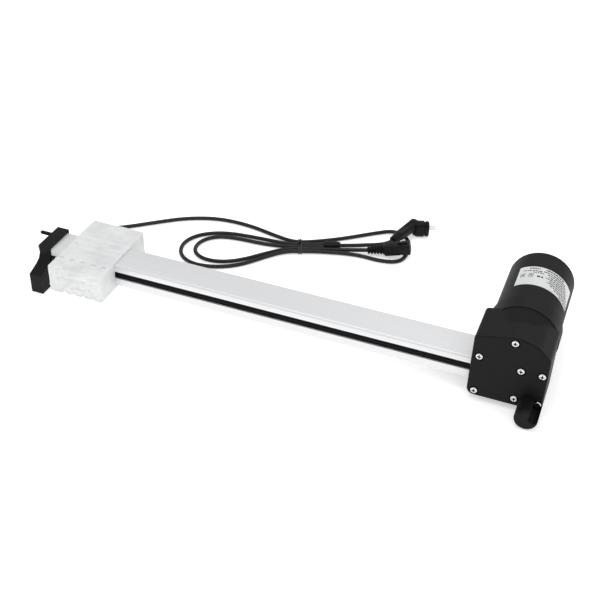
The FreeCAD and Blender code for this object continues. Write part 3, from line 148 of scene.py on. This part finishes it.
class Paint:
    """A Principled material that is built up node by node."""

    def __init__(self, name, **sockets):
        self.material = bpy.data.materials.new(name)
        self.material.use_nodes = True
        self.nodes = self.material.node_tree.nodes
        self.links = self.material.node_tree.links
        self.surface = self.nodes["Principled BSDF"]
        self.places = self.nodes.new("ShaderNodeTexCoord").outputs["Object"]
        for socket, value in sockets.items():
            self.surface.inputs[socket.replace("_", " ")].default_value = value

    def add(self, kind, inputs=None, **settings):
        """A new node, with its sockets linked or set and its settings set."""
        made = self.nodes.new(kind)
        for name, value in settings.items():
            setattr(made, name, value)
        for socket, value in (inputs or {}).items():
            if isinstance(value, bpy.types.NodeSocket):
                self.links.new(value, made.inputs[socket])
            else:
                made.inputs[socket].default_value = value
        return made

    def stretched(self, scale):
        return self.add("ShaderNodeMapping", {"Vector": self.places,
                                              "Scale": scale}).outputs["Vector"]

    def noise(self, scale, detail=3.0, stretch=None):
        where = self.stretched(stretch) if stretch else self.places
        return self.add("ShaderNodeTexNoise", {"Vector": where, "Scale": scale,
                                               "Detail": detail}).outputs["Fac"]

    def colours(self, factor, stops):
        """Base colour from a ramp of (position, colour) stops."""
        ramp = self.add("ShaderNodeValToRGB", {"Fac": factor})
        elements = ramp.color_ramp.elements
        while len(elements) < len(stops):
            elements.new(0.5)
        for element, (position, colour) in zip(elements, stops):
            element.position = position
            element.color = (*colour, 1)
        self.links.new(ramp.outputs["Color"], self.surface.inputs["Base Color"])
        return ramp.outputs["Color"]

    def maths(self, operation, first, second):
        return self.add("ShaderNodeMath", {0: first, 1: second},
                        operation=operation).outputs["Value"]

    def roughness(self, factor, low, high):
        mapped = self.add("ShaderNodeMapRange", {"Value": factor, "To Min": low,
                                                 "To Max": high})
        self.links.new(mapped.outputs["Result"], self.surface.inputs["Roughness"])

    def bump(self, height, depth, strength=1.0, after=None):
        """Bump of a depth in metres, on top of an earlier bump where there is one."""
        inputs = {"Height": height, "Distance": depth, "Strength": strength}
        if after is not None:
            inputs["Normal"] = after
        made = self.add("ShaderNodeBump", inputs)
        self.links.new(made.outputs["Normal"], self.surface.inputs["Normal"])
        return made.outputs["Normal"]


def shade(colour, factor):
    """A colour made darker or lighter."""
    return tuple(min(1.0, part * factor) for part in colour)


def plain_finish(name, colour, rough, metal=0.0, grain=900, depth=0.00004, spread=0.25):
    """Moulded, cast or ground stock: fine grain, slight colour and gloss variation."""
    paint = Paint(name, Metallic=metal)
    broad = paint.noise(45, 4)
    paint.colours(broad, [(0.3, shade(colour, 1 - spread)), (0.7, shade(colour, 1 + spread))])
    fine = paint.noise(grain, 2)
    paint.roughness(fine, rough - 0.08, rough + 0.10)
    paint.bump(fine, depth)
    return paint.material


def worn_nylon(name, colour, rough):
    """Spark-eroded moulded nylon: two scales of grain, softly polished in patches."""
    paint = Paint(name, IOR=1.5, Specular_IOR_Level=0.15)
    patches = paint.noise(18, 5)
    paint.colours(patches, [(0.32, shade(colour, 0.82)), (0.68, shade(colour, 1.22))])
    fine = paint.noise(1500, 2)
    paint.roughness(patches, rough - 0.07, rough + 0.07)
    first = paint.bump(fine, 0.00006, 0.55)
    paint.bump(paint.noise(260, 3), 0.00012, 0.25, first)
    return paint.material


def drawn_aluminium(name):
    """Anodised extrusion: die lines along the length and a matt clear film."""
    paint = Paint(name, Metallic=0.55, Anisotropic=0.2)
    streaks = paint.noise(260, 3, (0.015, 1, 1))
    paint.colours(streaks, [(0.25, (0.775, 0.78, 0.79)), (0.75, (0.80, 0.805, 0.815))])
    paint.roughness(paint.noise(60, 3), 0.44, 0.54)
    first = paint.bump(paint.noise(1400, 2, (0.01, 1, 1)), 0.00001, 0.3)
    paint.bump(paint.noise(2400, 1), 0.000012, 0.3, first)
    return paint.material


def milky_nylon(name):
    """Natural nylon: cloudy, with light carried under the surface."""
    paint = Paint(name, Subsurface_Weight=0.25, Subsurface_Radius=(0.012, 0.012, 0.013),
                  Subsurface_Scale=0.2, IOR=1.5)
    cloud = paint.noise(70, 5)
    paint.colours(cloud, [(0.28, (0.72, 0.73, 0.735)), (0.55, (0.80, 0.805, 0.81)),
                          (0.8, (0.86, 0.865, 0.87))])
    paint.roughness(cloud, 0.28, 0.5)
    first = paint.bump(paint.noise(420, 3), 0.0002, 0.5)
    paint.bump(paint.noise(1600, 2), 0.00005, 0.4, first)
    return paint.material


def cord_jacket(name):
    """Smooth black cord jacket, dusty in patches."""
    paint = Paint(name, IOR=1.5, Specular_IOR_Level=0.3)
    dust = paint.noise(120, 4)
    paint.colours(dust, [(0.3, (0.006, 0.006, 0.007)), (0.75, (0.018, 0.018, 0.020))])
    paint.roughness(dust, 0.30, 0.5)
    paint.bump(paint.noise(900, 2), 0.00005, 0.6)
    return paint.material


# Painted shade in the cover screws' recesses and round their heads: its colour, and where
# it is, in metres of the frame.
RECESS_SHADE = (0.03, 0.03, 0.03, 1)
SHADE_TOP_Y = -0.0004
SHADE_FULL_Y = 0.0001
HEAD_BASE_Y = 0.0019
HOUSING_X = -0.1


def zinc(name):
    """Bright zinc plate, with painted shade in the recesses of the cover screws and round their
    heads.
    """
    paint = Paint(name, Metallic=1.0)
    bloom = paint.noise(700, 4)
    plate_colour = paint.colours(bloom, [(0.3, (0.62, 0.63, 0.65)), (0.7, (0.86, 0.87, 0.88))])
    place = paint.add("ShaderNodeSeparateXYZ", {"Vector": paint.places}).outputs
    # Painted shade: the zinc is darkened below the cover screws' head tops, in the recess
    # crosses and round the heads in their wells.
    sunk = paint.add("ShaderNodeMapRange", {"Value": place["Y"], "From Min": SHADE_TOP_Y,
                                            "From Max": SHADE_FULL_Y}).outputs["Result"]
    in_head = paint.maths("LESS_THAN", place["Y"], HEAD_BASE_Y)
    on_housing = paint.maths("GREATER_THAN", place["X"], HOUSING_X)
    shade_mask = paint.maths("MULTIPLY", paint.maths("MULTIPLY", sunk, in_head), on_housing)
    mixed = paint.add("ShaderNodeMixRGB", {"Fac": shade_mask, "Color1": plate_colour,
                                           "Color2": RECESS_SHADE}).outputs["Color"]
    paint.links.new(mixed, paint.surface.inputs["Base Color"])
    paint.roughness(bloom, 0.16, 0.34)
    paint.bump(bloom, 0.00003)
    return paint.material


def laminated(name):
    """Stacked steel laminations across the motor axis."""
    paint = Paint(name, Metallic=0.9)
    sheets = paint.add("ShaderNodeTexWave", {"Vector": paint.places, "Scale": 320.0},
                       bands_direction="Y").outputs["Fac"]
    paint.colours(sheets, [(0.2, (0.12, 0.12, 0.13)), (0.8, (0.42, 0.42, 0.44))])
    paint.roughness(paint.noise(300), 0.3, 0.5)
    paint.bump(sheets, 0.0001)
    return paint.material


def enamelled_wire(name):
    """Copper wire wound in turns, under clear enamel."""
    paint = Paint(name, Metallic=0.7, Coat_Weight=0.5)
    turns = paint.add("ShaderNodeTexWave", {"Vector": paint.places, "Scale": 240.0,
                                            "Distortion": 2.0},
                      bands_direction="Z").outputs["Fac"]
    paint.colours(turns, [(0.15, (0.20, 0.07, 0.03)), (0.8, (0.70, 0.33, 0.14))])
    paint.roughness(paint.noise(400), 0.25, 0.45)
    paint.bump(turns, 0.0003)
    return paint.material


MATERIALS = {
    "anodised_aluminium": drawn_aluminium("anodised_aluminium"),
    "black_nylon": worn_nylon("black_nylon", (0.006, 0.006, 0.0065), 0.56),
    "black_liner": worn_nylon("black_liner", (0.002, 0.002, 0.0022), 0.6),
    "milky_nylon": milky_nylon("milky_nylon"),
    "white_acetal": plain_finish("white_acetal", (0.78, 0.78, 0.76), 0.4, spread=0.06),
    "zinc_steel": zinc("zinc_steel"),
    "bearing_steel": plain_finish("bearing_steel", (0.55, 0.55, 0.57), 0.26, 1.0, 1400,
                                  0.00002, 0.12),
    "core_steel": laminated("core_steel"),
    "bronze": plain_finish("bronze", (0.60, 0.40, 0.19), 0.42, 1.0, 1100, 0.00006, 0.2),
    "cast_zinc": plain_finish("cast_zinc", (0.42, 0.42, 0.44), 0.55, 0.8, 700, 0.0001, 0.15),
    "ferrite": plain_finish("ferrite", (0.09, 0.09, 0.10), 0.7, 0.1, 900, 0.0001, 0.2),
    "copper_wire": enamelled_wire("copper_wire"),
    "carbon": plain_finish("carbon", (0.04, 0.04, 0.04), 0.55, 0.2, 1500, 0.00006, 0.3),
    "brown_board": plain_finish("brown_board", (0.25, 0.13, 0.06), 0.5, grain=500,
                                spread=0.2),
    "green_board": plain_finish("green_board", (0.03, 0.20, 0.09), 0.35, grain=600,
                                spread=0.2),
    "label_film": plain_finish("label_film", (0.70, 0.71, 0.71), 0.35, grain=800,
                               depth=0.00002, spread=0.03),
    "cord_rubber": cord_jacket("cord_rubber"),
    "connector_plastic": worn_nylon("connector_plastic", (0.005, 0.005, 0.0055), 0.42),
    "tinned_contact": zinc("tinned_contact"),
    "tie_plastic": plain_finish("tie_plastic", (0.012, 0.012, 0.012), 0.4, grain=1500),
}

for part in frame["record"]["subparts"]:
    mesh = NODES[part["node"]].data
    mesh.materials.clear()
    mesh.materials.append(MATERIALS[part["material_slot"]])


# ---------------------------------------------------------------- cords

CORD_R = 2.5
LAID_Z = 2.6
BUNDLE_Z = LAID_Z + 0.6
TIE = (258.0, 162.0)
BUNDLE_HEADING = 22
BUNDLE_ANGLE = math.radians(BUNDLE_HEADING)


def bundle(along, across, z=BUNDLE_Z):
    """A point near the tie, by its distance along and across the bundle."""
    return (TIE[0] + along * math.cos(BUNDLE_ANGLE) - across * math.sin(BUNDLE_ANGLE),
            TIE[1] + along * math.sin(BUNDLE_ANGLE) + across * math.cos(BUNDLE_ANGLE), z)


def on_floor(*pairs):
    """Points of a cord that lies on the floor."""
    return [(x, y, LAID_Z) for x, y in pairs]


MAIN_ROUTE = (
    [(494.3, 15.5, 11.4), (487, 15.5, 11.4), (476, 17, 8.6), (455, 25, 4.2)]
    + on_floor(
        (424, 36), (380, 45), (326, 50), (268, 54), (208, 53), (150, 55), (98, 56),
        (56, 53), (25, 55), (3, 67), (-1, 86), (13, 101), (39, 118), (68, 142.5), (98, 166),
        (136, 182), (178, 183), (218, 174))
    + [bundle(-9, 10.5), bundle(13, 10.5)]
    + on_floor(
        (300, 200), (336, 230.5), (355, 244.5), (372.5, 240), (384, 222), (387.5, 200),
        (383.5, 179.5), (361, 172), (328, 174.5))
    + [bundle(26, -10.6), bundle(4, -10.6), bundle(-19, -11)]
    + on_floor(
        (226, 124), (205, 96), (178, 79), (148, 75), (126, 89), (119, 114), (130, 138),
        (158, 155), (200, 160))
    + [bundle(-16, 5.2), bundle(8, 5.2), bundle(30, 5.4)])

LOOP_ROUTE = (
    [bundle(30, 0), bundle(4, 0), bundle(-16, -0.5)]
    + on_floor(
        (214, 150), (178, 149), (152, 143), (137, 124), (139, 102), (156, 90), (180, 92),
        (203, 107), (226, 134))
    + [bundle(-16, -5.2), bundle(8, -5.2), bundle(36, -5.7), (318.5, 179.6, 3.3),
       (339.4, 185.2, 5.2)])

TAIL_ROUTE = ([bundle(51, 3.2, 3.4)]
              + [(319, 191.5, 2.8), (333, 197.5, 3.6), (345, 200, 5.6), (355.6, 202, 8.3),
                 (363.6, 208.4, 10.4), (366.9, 217.5, 11.3)])


def add_cord(name, route, node):
    """A cord as one smooth spline whose control points are the route's points."""
    data = bpy.data.curves.new(name, "CURVE")
    data.dimensions = "3D"
    data.resolution_u = 10
    data.bevel_depth = CORD_R * MM
    data.bevel_resolution = 5
    data.use_fill_caps = True
    spline = data.splines.new("NURBS")
    spline.points.add(len(route) - 1)
    for point, place in zip(spline.points, route):
        point.co = (*station(*place), 1)
    spline.order_u = 3
    spline.use_endpoint_u = True
    data.materials.append(MATERIALS["cord_rubber"])
    cord = bpy.data.objects.new(name, data)
    bpy.context.scene.collection.objects.link(cord)
    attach(cord, "frame")
    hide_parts(node)
    return cord


main_flex = add_cord("main_flex", MAIN_ROUTE, "motor_cord")
loop_flex = add_cord("loop_flex", LOOP_ROUTE, "loop_cord")
tail_flex = add_cord("tail_flex", TAIL_ROUTE, "tail_cord")


# ---------------------------------------------------------------- shapes

def show(name, mesh, slot, body="frame", stands_for=()):
    """Put a mesh in the scene as a piece of a body."""
    mesh.materials.clear()
    mesh.materials.append(MATERIALS[slot])
    thing = bpy.data.objects.new(name, mesh)
    bpy.context.scene.collection.objects.link(thing)
    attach(thing, body)
    if stands_for:
        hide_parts(*stands_for)
    return thing


def soften(mesh, angle=40):
    """Shade smooth, with edges sharper than the angle in degrees left hard."""
    mesh.shade_smooth()
    mesh.set_sharp_from_angle(angle=math.radians(angle))
    return mesh


def section(along, wide, tall, power=2.0, count=32, groove=0.0):
    """A superellipse ring across local X, in millimetres, with a groove along its top."""
    ring = []
    for i in range(count):
        turn = 2 * math.pi * i / count
        across, rise = math.cos(turn), math.sin(turn)
        u = math.copysign(abs(across) ** (2 / power), across) * wide / 2
        v = math.copysign(abs(rise) ** (2 / power), rise) * tall / 2
        v -= groove * max(0.0, (rise - 0.9) / 0.1)
        ring.append((along, u, v))
    return ring


def loft(name, rings, at, heading=0.0, pitch=0.0, round_off=0.0):
    """Skin through rings of millimetre points, laid at a station; ends are closed."""
    turn = (Matrix.Rotation(math.radians(heading), 4, "Z")
            @ Matrix.Rotation(-math.radians(pitch), 4, "Y"))
    place = Matrix.Translation(station(*at)) @ turn @ Matrix.Scale(MM, 4)
    count = len(rings[0])
    points = [place @ Vector(point) for ring in rings for point in ring]
    faces = []
    for k in range(len(rings) - 1):
        for i in range(count):
            j = (i + 1) % count
            faces.append((k * count + i, k * count + j, (k + 1) * count + j,
                          (k + 1) * count + i))
    last = (len(rings) - 1) * count
    faces.append(tuple(reversed(range(count))))
    faces.append(tuple(range(last, last + count)))
    mesh = bpy.data.meshes.new(name)
    mesh.from_pydata(points, [], faces)
    work = bmesh.new()
    work.from_mesh(mesh)
    bmesh.ops.recalc_face_normals(work, faces=work.faces)
    if round_off:
        sharp = [edge for edge in work.edges
                 if len(edge.link_faces) == 2 and edge.calc_face_angle() > 0.7]
        bmesh.ops.bevel(work, geom=sharp, offset=round_off * MM, segments=2,
                        affect="EDGES", profile=0.6)
    work.to_mesh(mesh)
    work.free()
    return soften(mesh)


def hollow_band(name, rings):
    """Skin a closed loop of rings, so that the last ring joins the first."""
    work = bmesh.new()
    loops = [[work.verts.new(point) for point in ring] for ring in rings]
    count = len(loops[0])
    for here, there in zip(loops, loops[1:] + loops[:1]):
        for i in range(count):
            j = (i + 1) % count
            work.faces.new((here[i], here[j], there[j], there[i]))
    bmesh.ops.recalc_face_normals(work, faces=work.faces)
    mesh = bpy.data.meshes.new(name)
    work.to_mesh(mesh)
    work.free()
    return mesh


def joined(name, meshes):
    """Several meshes as one."""
    work = bmesh.new()
    for mesh in meshes:
        work.from_mesh(mesh)
    made = bpy.data.meshes.new(name)
    work.to_mesh(made)
    work.free()
    return soften(made)


def moved(ring, across=0.0, rise=0.0):
    """A ring shifted sideways and up."""
    return [(x, y + across, z + rise) for x, y, z in ring]


def ribbed(start, end, radius1, radius2, ribs, deep):
    """Rings of a ribbed taper along local X."""
    pitch = (end - start) / ribs
    rings = []
    for i in range(ribs):
        for share, sunk in ((0.0, deep), (0.12, 0), (0.55, 0), (0.68, deep), (0.98, deep)):
            along = start + (i + share) * pitch
            radius = radius1 + (radius2 - radius1) * (along - start) / (end - start) - sunk
            rings.append(section(along, 2 * radius, 2 * radius))
    rings.append(section(end, 2 * radius2, 2 * radius2))
    return rings


# ---------------------------------------------------------------- pieces on the cords

def add_gland():
    """Ribbed strain relief at the housing's outlet."""
    rings = ([section(0, 6.1, 6.1)] + ribbed(0.4, 20, 3.4, 4.5, 6, 0.5)
             + [section(20.5, 9.8, 9.8), section(24, 10.2, 10.2), section(28, 6.6, 6.6)])
    return show("strain_relief", loft("strain_relief", rings, MAIN_ROUTE[0]),
                "black_liner", stands_for=["cord_gland"])


TIE_OUTER = (27.6, 6.4)
TIE_INNER = (26.7, 5.44)
TIE_POWER = 2 / 0.35


def tie_turn(middle):
    """One turn of the flat tie round the five strands, at a place along the bundle."""
    place = (Matrix.Translation(station(*bundle(middle, 0)))
             @ Matrix.Rotation(BUNDLE_ANGLE, 4, "Z") @ Matrix.Scale(MM, 4))
    rings = [section(along, *size, TIE_POWER, 64) for along, size in (
        (-1.0, TIE_INNER), (-1.0, TIE_OUTER), (-0.7, TIE_OUTER), (0.7, TIE_OUTER),
        (1.0, TIE_OUTER), (1.0, TIE_INNER))]
    return hollow_band("tie_turn", [[place @ Vector(point) for point in ring] for ring in rings])


def add_tie():
    """Flat tie: two turns round the strands and two short bent ends."""
    pieces = [tie_turn(-1.4), tie_turn(1.4)]
    for lean, side in ((-2.2, 2.5), (2.6, 6.0)):
        rings = [section(0, 1.9, 1.0, 3), section(2.0, 1.9, 1.0, 3),
                 section(4.2, 1.7, 0.9, 3)]
        foot = bundle(lean * 0.4, side, BUNDLE_Z + 3.0)
        pieces.append(loft("tie_end", rings, foot, BUNDLE_HEADING + 40 * lean, 74))
    return show("twist_tie_wire", joined("twist_tie_wire", pieces), "tie_plastic",
                stands_for=["twist_tie"])


def add_splitter():
    """Moulded junction that the main cord enters and two cords leave."""
    rings = [section(-0.3, 8.6, 5.6, 3), section(0.6, 10.4, 7.0, 3),
             section(3, 11.8, 7.9, 3), section(9, 12, 8, 3), section(15, 10.6, 7.6, 3),
             section(19, 8.8, 6.8, 3), section(20.6, 7.4, 6.0, 3), section(21, 6.4, 5.2, 3)]
    mesh = loft("splitter", rings, bundle(30, 3.2, 4.1), BUNDLE_HEADING)
    return show("splitter", mesh, "connector_plastic", stands_for=["cord_splitter"])


# How each connector lies: its station, and its heading and pitch in degrees.
SOCKET_LIE = ((358.5, 189.6, 9.0), 13.0, 11.0)
GRIP_LIE = ((367.0, 217.8, 11.4), 69.7, 3.0)
HEAD_LIE = ((389.0, 252.0, 10.4), 20.0, 0.0)


def add_pins(name, rings, half_gap, rise, lie, node):
    """Two round pins side by side, each skinned from the same rings."""
    pins = [loft("pin", [moved(ring, side, rise) for ring in rings], *lie)
            for side in (-half_gap, half_gap)]
    return show(name, joined(name, pins), "tinned_contact", stands_for=[node])


def add_socket():
    """Keyed socket with a latch rib, its ribbed boot and its two contacts."""
    hull = [section(0, 9.4, 9.2, 3), section(0.6, 11.8, 11.4, 4), section(2.2, 14, 13.4, 5),
            section(3.4, 14.8, 14.2, 6), section(21.2, 14.8, 14.2, 6),
            section(21.7, 14, 13.4, 6), section(23.2, 14, 13.4, 6),
            section(23.7, 15, 14.4, 6), section(33.4, 15, 14.4, 6),
            section(34, 14.2, 13.6, 6), section(34, 9.6, 8.8, 6), section(33.6, 9.2, 8.4, 6),
            section(25.4, 9, 8.2, 6)]
    key = [moved(section(along, 4.2, tall, 8), rise=7.2)
           for along, tall in ((19, 2.2), (19.3, 3.0), (30.7, 3.0), (31, 2.4))]
    latch = [moved(section(along, 1.6, 5.4, 8), across=-7.4) for along in (6, 6.2, 16.8, 17)]
    body = joined("socket_shell", [loft("hull", hull, *SOCKET_LIE),
                                   loft("key", key, *SOCKET_LIE, round_off=0.3),
                                   loft("latch", latch, *SOCKET_LIE, round_off=0.2)])
    shell = show("socket_shell", body, "connector_plastic", stands_for=["socket_body"])
    ribs = ribbed(-19.6, -0.4, 4.6, 6.6, 5, 1.3) + [section(0.4, 12, 12)]
    boot = show("socket_boot", loft("socket_boot", ribs, *SOCKET_LIE), "connector_plastic",
                stands_for=["socket_relief"])
    rings = [section(along, wide, wide)
             for along, wide in ((25, 1.8), (30.6, 1.8), (31.6, 1.4), (32, 0.8))]
    tines = add_pins("socket_tines", rings, 2.3, 0, SOCKET_LIE, "socket_contacts")
    return [shell, boot, tines]


def add_plug():
    """Angled plug: a long grip with a thumb groove, a tall head and two pins."""
    grip = [section(-8.6, 7, 7, 2), section(-7.6, 9.6, 9.4, 2.2),
            section(1, 11.2, 10.8, 2.5), section(4, 12, 11.6, 2.6), section(6, 12.3, 11.9, 2.8),
            section(7.5, 12.4, 12.2, 2.8, groove=1.2), section(33, 14, 14, 2.8, groove=1.2),
            section(35, 14.3, 14.3, 2.8), section(39.6, 14.7, 14.7, 2.8),
            section(41, 13.2, 13.2, 2.4)]
    head = [section(-10.5, 9, 13, 3), section(-9.8, 11, 16.4, 3), section(-6, 13.4, 19.8, 3.4),
            section(-5.2, 13.9, 20.3, 3.6), section(3.8, 13.9, 20.3, 3.6),
            section(4.5, 12.4, 18, 3.2), section(5.9, 12.4, 18, 3.2),
            section(6.5, 13.8, 19.8, 3), section(9.6, 13.8, 19.8, 3),
            section(10.5, 12.4, 18, 2.8)]
    shell = show("plug_shell", joined("plug_shell", [loft("grip", grip, *GRIP_LIE),
                                                     loft("head", head, *HEAD_LIE)]),
                 "connector_plastic", stands_for=["plug_body"])
    rings = [section(along, wide, wide)
             for along, wide in ((10.1, 2.2), (18.1, 2.2), (19.1, 1.7), (19.5, 0.9))]
    tines = add_pins("plug_tines", rings, 2.6, 1.5, HEAD_LIE, "plug_pins")
    return [shell, tines]


# ---------------------------------------------------------------- the slider

SLIDER_ENDS = (31.5, 99.5)
VOXEL = 0.8

# Where the block's regions begin, by station: its walls, its top with the ridges' foot,
# the pebbled near shoulder and the far flat, and the skirt under the walls.
WALL_Y = 50
TOP_Z = 48
RIDGE_FOOT_Z = 49.6
NEAR_SHOULDER_Y = -34.5
FAR_FLAT_Y = 24
SKIRT_Z = 18
SKIRT_Y = 44

# The five raised ridges along the top, each with a soft flank.
RIDGES = [-18.7 + 10.4 * i for i in range(5)]
RIDGE_HALF = 1.2
RIDGE_LIFT = 0.3
FLANK_WIDE = 2.4
FLANK_LIFT = 0.65

PILLOW_PITCH = 12.6
PILLOW_ROW = 9.4


def pebbles(point):
    """Height of the cast pillow pattern at a place on the block's side, in millimetres."""
    row = math.floor(point.z / PILLOW_ROW)
    shift = 0.5 * PILLOW_PITCH * (row % 2)
    u = ((point.x + shift) / PILLOW_PITCH) % 1.0 - 0.5
    v = (point.z / PILLOW_ROW) % 1.0 - 0.5
    dome = max(0.0, 1.0 - 3.4 * (u * u + v * v))
    rough = noise.noise(point * 0.19)
    fine = noise.noise((point + Vector((31, 0, 0))) * 0.5)
    return 1.2 * dome + 1.1 * rough + 0.7 * fine


def slider_skin(point, normal):
    """How far the skin stands off the plain block at a station, in millimetres."""
    if abs(point.y) > WALL_Y and abs(normal.y) > 0.6:
        return pebbles(point) - 1.3
    if normal.z > 0.6 and point.z > TOP_Z:
        aside = min(abs(point.y - ridge) for ridge in RIDGES) - RIDGE_HALF
        if aside <= 0:
            return RIDGE_LIFT
        if point.z < RIDGE_FOOT_Z and aside < FLANK_WIDE:
            return FLANK_LIFT * (1 - aside / FLANK_WIDE)
        if point.y < NEAR_SHOULDER_Y:
            return 0.85 * pebbles(Vector((point.x, point.z, point.y))) - 0.85
        if point.y > FAR_FLAT_Y:
            return 0.35 * noise.noise(point * 0.11) - 0.2
    if normal.z < -0.7 and point.z < SKIRT_Z and abs(point.y) > SKIRT_Y:
        return 0.8 * noise.noise(point * 0.25) - 0.4
    if abs(normal.x) > 0.7:
        return 0.1 * noise.noise(point * 0.4) - 0.06
    return 0.0


def add_slider():
    """The slider block with its cast texture, remeshed from the plain block."""
    plain = NODES["slider_block"]
    copy = bpy.data.objects.new("slider_copy", plain.data.copy())
    copy.matrix_world = plain.matrix_world
    bpy.context.scene.collection.objects.link(copy)
    voxels = copy.modifiers.new("voxels", "REMESH")
    voxels.mode = "VOXEL"
    voxels.voxel_size = VOXEL * MM
    skin = bpy.data.meshes.new_from_object(
        copy.evaluated_get(bpy.context.evaluated_depsgraph_get()))
    skin.transform(copy.matrix_world)
    bpy.data.objects.remove(copy)
    work = bmesh.new()
    work.from_mesh(skin)
    bmesh.ops.smooth_vert(work, verts=work.verts, factor=0.5, use_axis_x=True,
                          use_axis_y=True, use_axis_z=True)
    work.normal_update()
    for vertex in work.verts:
        point = (vertex.co + PIVOT) / MM
        vertex.co += vertex.normal * slider_skin(point, vertex.normal) * MM
    work.to_mesh(skin)
    work.free()
    return show("slider_casting", soften(skin, 50), "milky_nylon", "carriage",
                ["slider_block"])


RAIL_HALF_WIDE = 20
RAIL_HALF_TALL = 14.2
RAIL_CORNER = 3
RAIL_Z = 32.5


def rail_ring(gap, x, count=48):
    """A rounded rectangle round the rail's section, gap outside it."""
    corner = RAIL_CORNER + gap
    flat_y = RAIL_HALF_WIDE - RAIL_CORNER
    flat_z = RAIL_HALF_TALL - RAIL_CORNER
    ring = []
    for i in range(count):
        turn = 2 * math.pi * (i + 0.5) / count
        c, s = math.cos(turn), math.sin(turn)
        ring.append(station(x, math.copysign(flat_y, c) + corner * c,
                            RAIL_Z + math.copysign(flat_z, s) + corner * s))
    return ring


LIP = ((0.25, -1.5), (0.25, 0.1), (0.4, 0.2), (0.85, 0.2), (1.0, 0.1), (1.0, -1.5))


def add_wipers():
    """Thin lips that close the gap between the slider's ends and the rail.

    LIP gives each ring's gap to the rail and its reach out of the slider's end.
    """
    lips = [hollow_band("lip", [rail_ring(gap, end + out * reach) for gap, reach in LIP])
            for end, out in zip(SLIDER_ENDS, (-1, 1))]
    return show("slider_wipers", joined("slider_wipers", lips), "milky_nylon", "carriage")


# ---------------------------------------------------------------- the rating label

COVER_X = 560
COVER_Z = 57.5
COVER_R = 36.4
PRINT_LIFT = 0.34
PRINT_STEP = 1.5

# Each row of bars: its lower edge y, its first and last angle and its width.
PRINT_ROWS = (
    (96.5, -19, -1, 1.8), (92.0, -29, 3, 1.3), (89.0, -11, 7, 1.3), (97.0, 9, 45, 2.0),
    (93.2, 6, 50, 1.5), (89.9, 14, 53, 1.5), (86.6, 17, 56, 1.5), (83.3, 12, 59, 1.5),
    (80.0, 19, 62, 1.5), (76.7, 15, 65, 1.5), (73.4, 22, 67, 1.5), (70.1, 31, 69, 1.5),
    (67.0, 44, 72, 1.3))
# Two small framed boxes: the angle where each starts, their size and their line widths.
PRINT_BOXES = (-31, -17)
BOX_LOW_Y = 80.5
BOX_HIGH_Y = 87.0
BOX_TURN = 7.5
LINE_WIDE = 0.5
LINE_TURN = 0.7


def add_patch(work, y0, y1, turn0, turn1):
    """A thin bar that follows the round cover between two y and two angles."""
    radius = COVER_R + PRINT_LIFT
    steps = max(1, math.ceil(abs(turn1 - turn0) / PRINT_STEP))
    rows = []
    for k in range(steps + 1):
        turn = math.radians(turn0 + (turn1 - turn0) * k / steps)
        rows.append([work.verts.new(station(COVER_X + radius * math.sin(turn), y,
                                            COVER_Z + radius * math.cos(turn)))
                     for y in (y0, y1)])
    for low, high in zip(rows, rows[1:]):
        work.faces.new((low[0], low[1], high[1], high[0]))


def add_print():
    """Generic rows of blank bars on the rating label: a layout, not lettering."""
    dice = random.Random(7)
    work = bmesh.new()
    for y, from_turn, to_turn, wide in PRINT_ROWS:
        turn = from_turn
        while turn < to_turn:
            long = dice.uniform(1.6, 5.5)
            add_patch(work, y, y + wide, turn, min(turn + long, to_turn))
            turn += long + dice.uniform(0.7, 1.6)
    for turn in PRINT_BOXES:
        for y in (BOX_LOW_Y, BOX_HIGH_Y - LINE_WIDE):
            add_patch(work, y, y + LINE_WIDE, turn, turn + BOX_TURN)
        for side in (turn, turn + BOX_TURN - LINE_TURN):
            add_patch(work, BOX_LOW_Y, BOX_HIGH_Y, side, side + LINE_TURN)
        add_patch(work, 82.6, 84.8, turn + 2.4, turn + 5.2)
    for from_turn, to_turn in ((-3, 2), (4, 7)):
        add_patch(work, 81.5, 84.0, from_turn, to_turn)
    bmesh.ops.recalc_face_normals(work, faces=work.faces)
    mesh = bpy.data.meshes.new("label_bars")
    work.to_mesh(mesh)
    work.free()
    return show("label_bars", mesh, "black_liner")


# ---------------------------------------------------------------- the whole object


add_gland()
add_tie()
add_splitter()
add_socket()
add_plug()
add_slider()
add_wipers()
add_print()
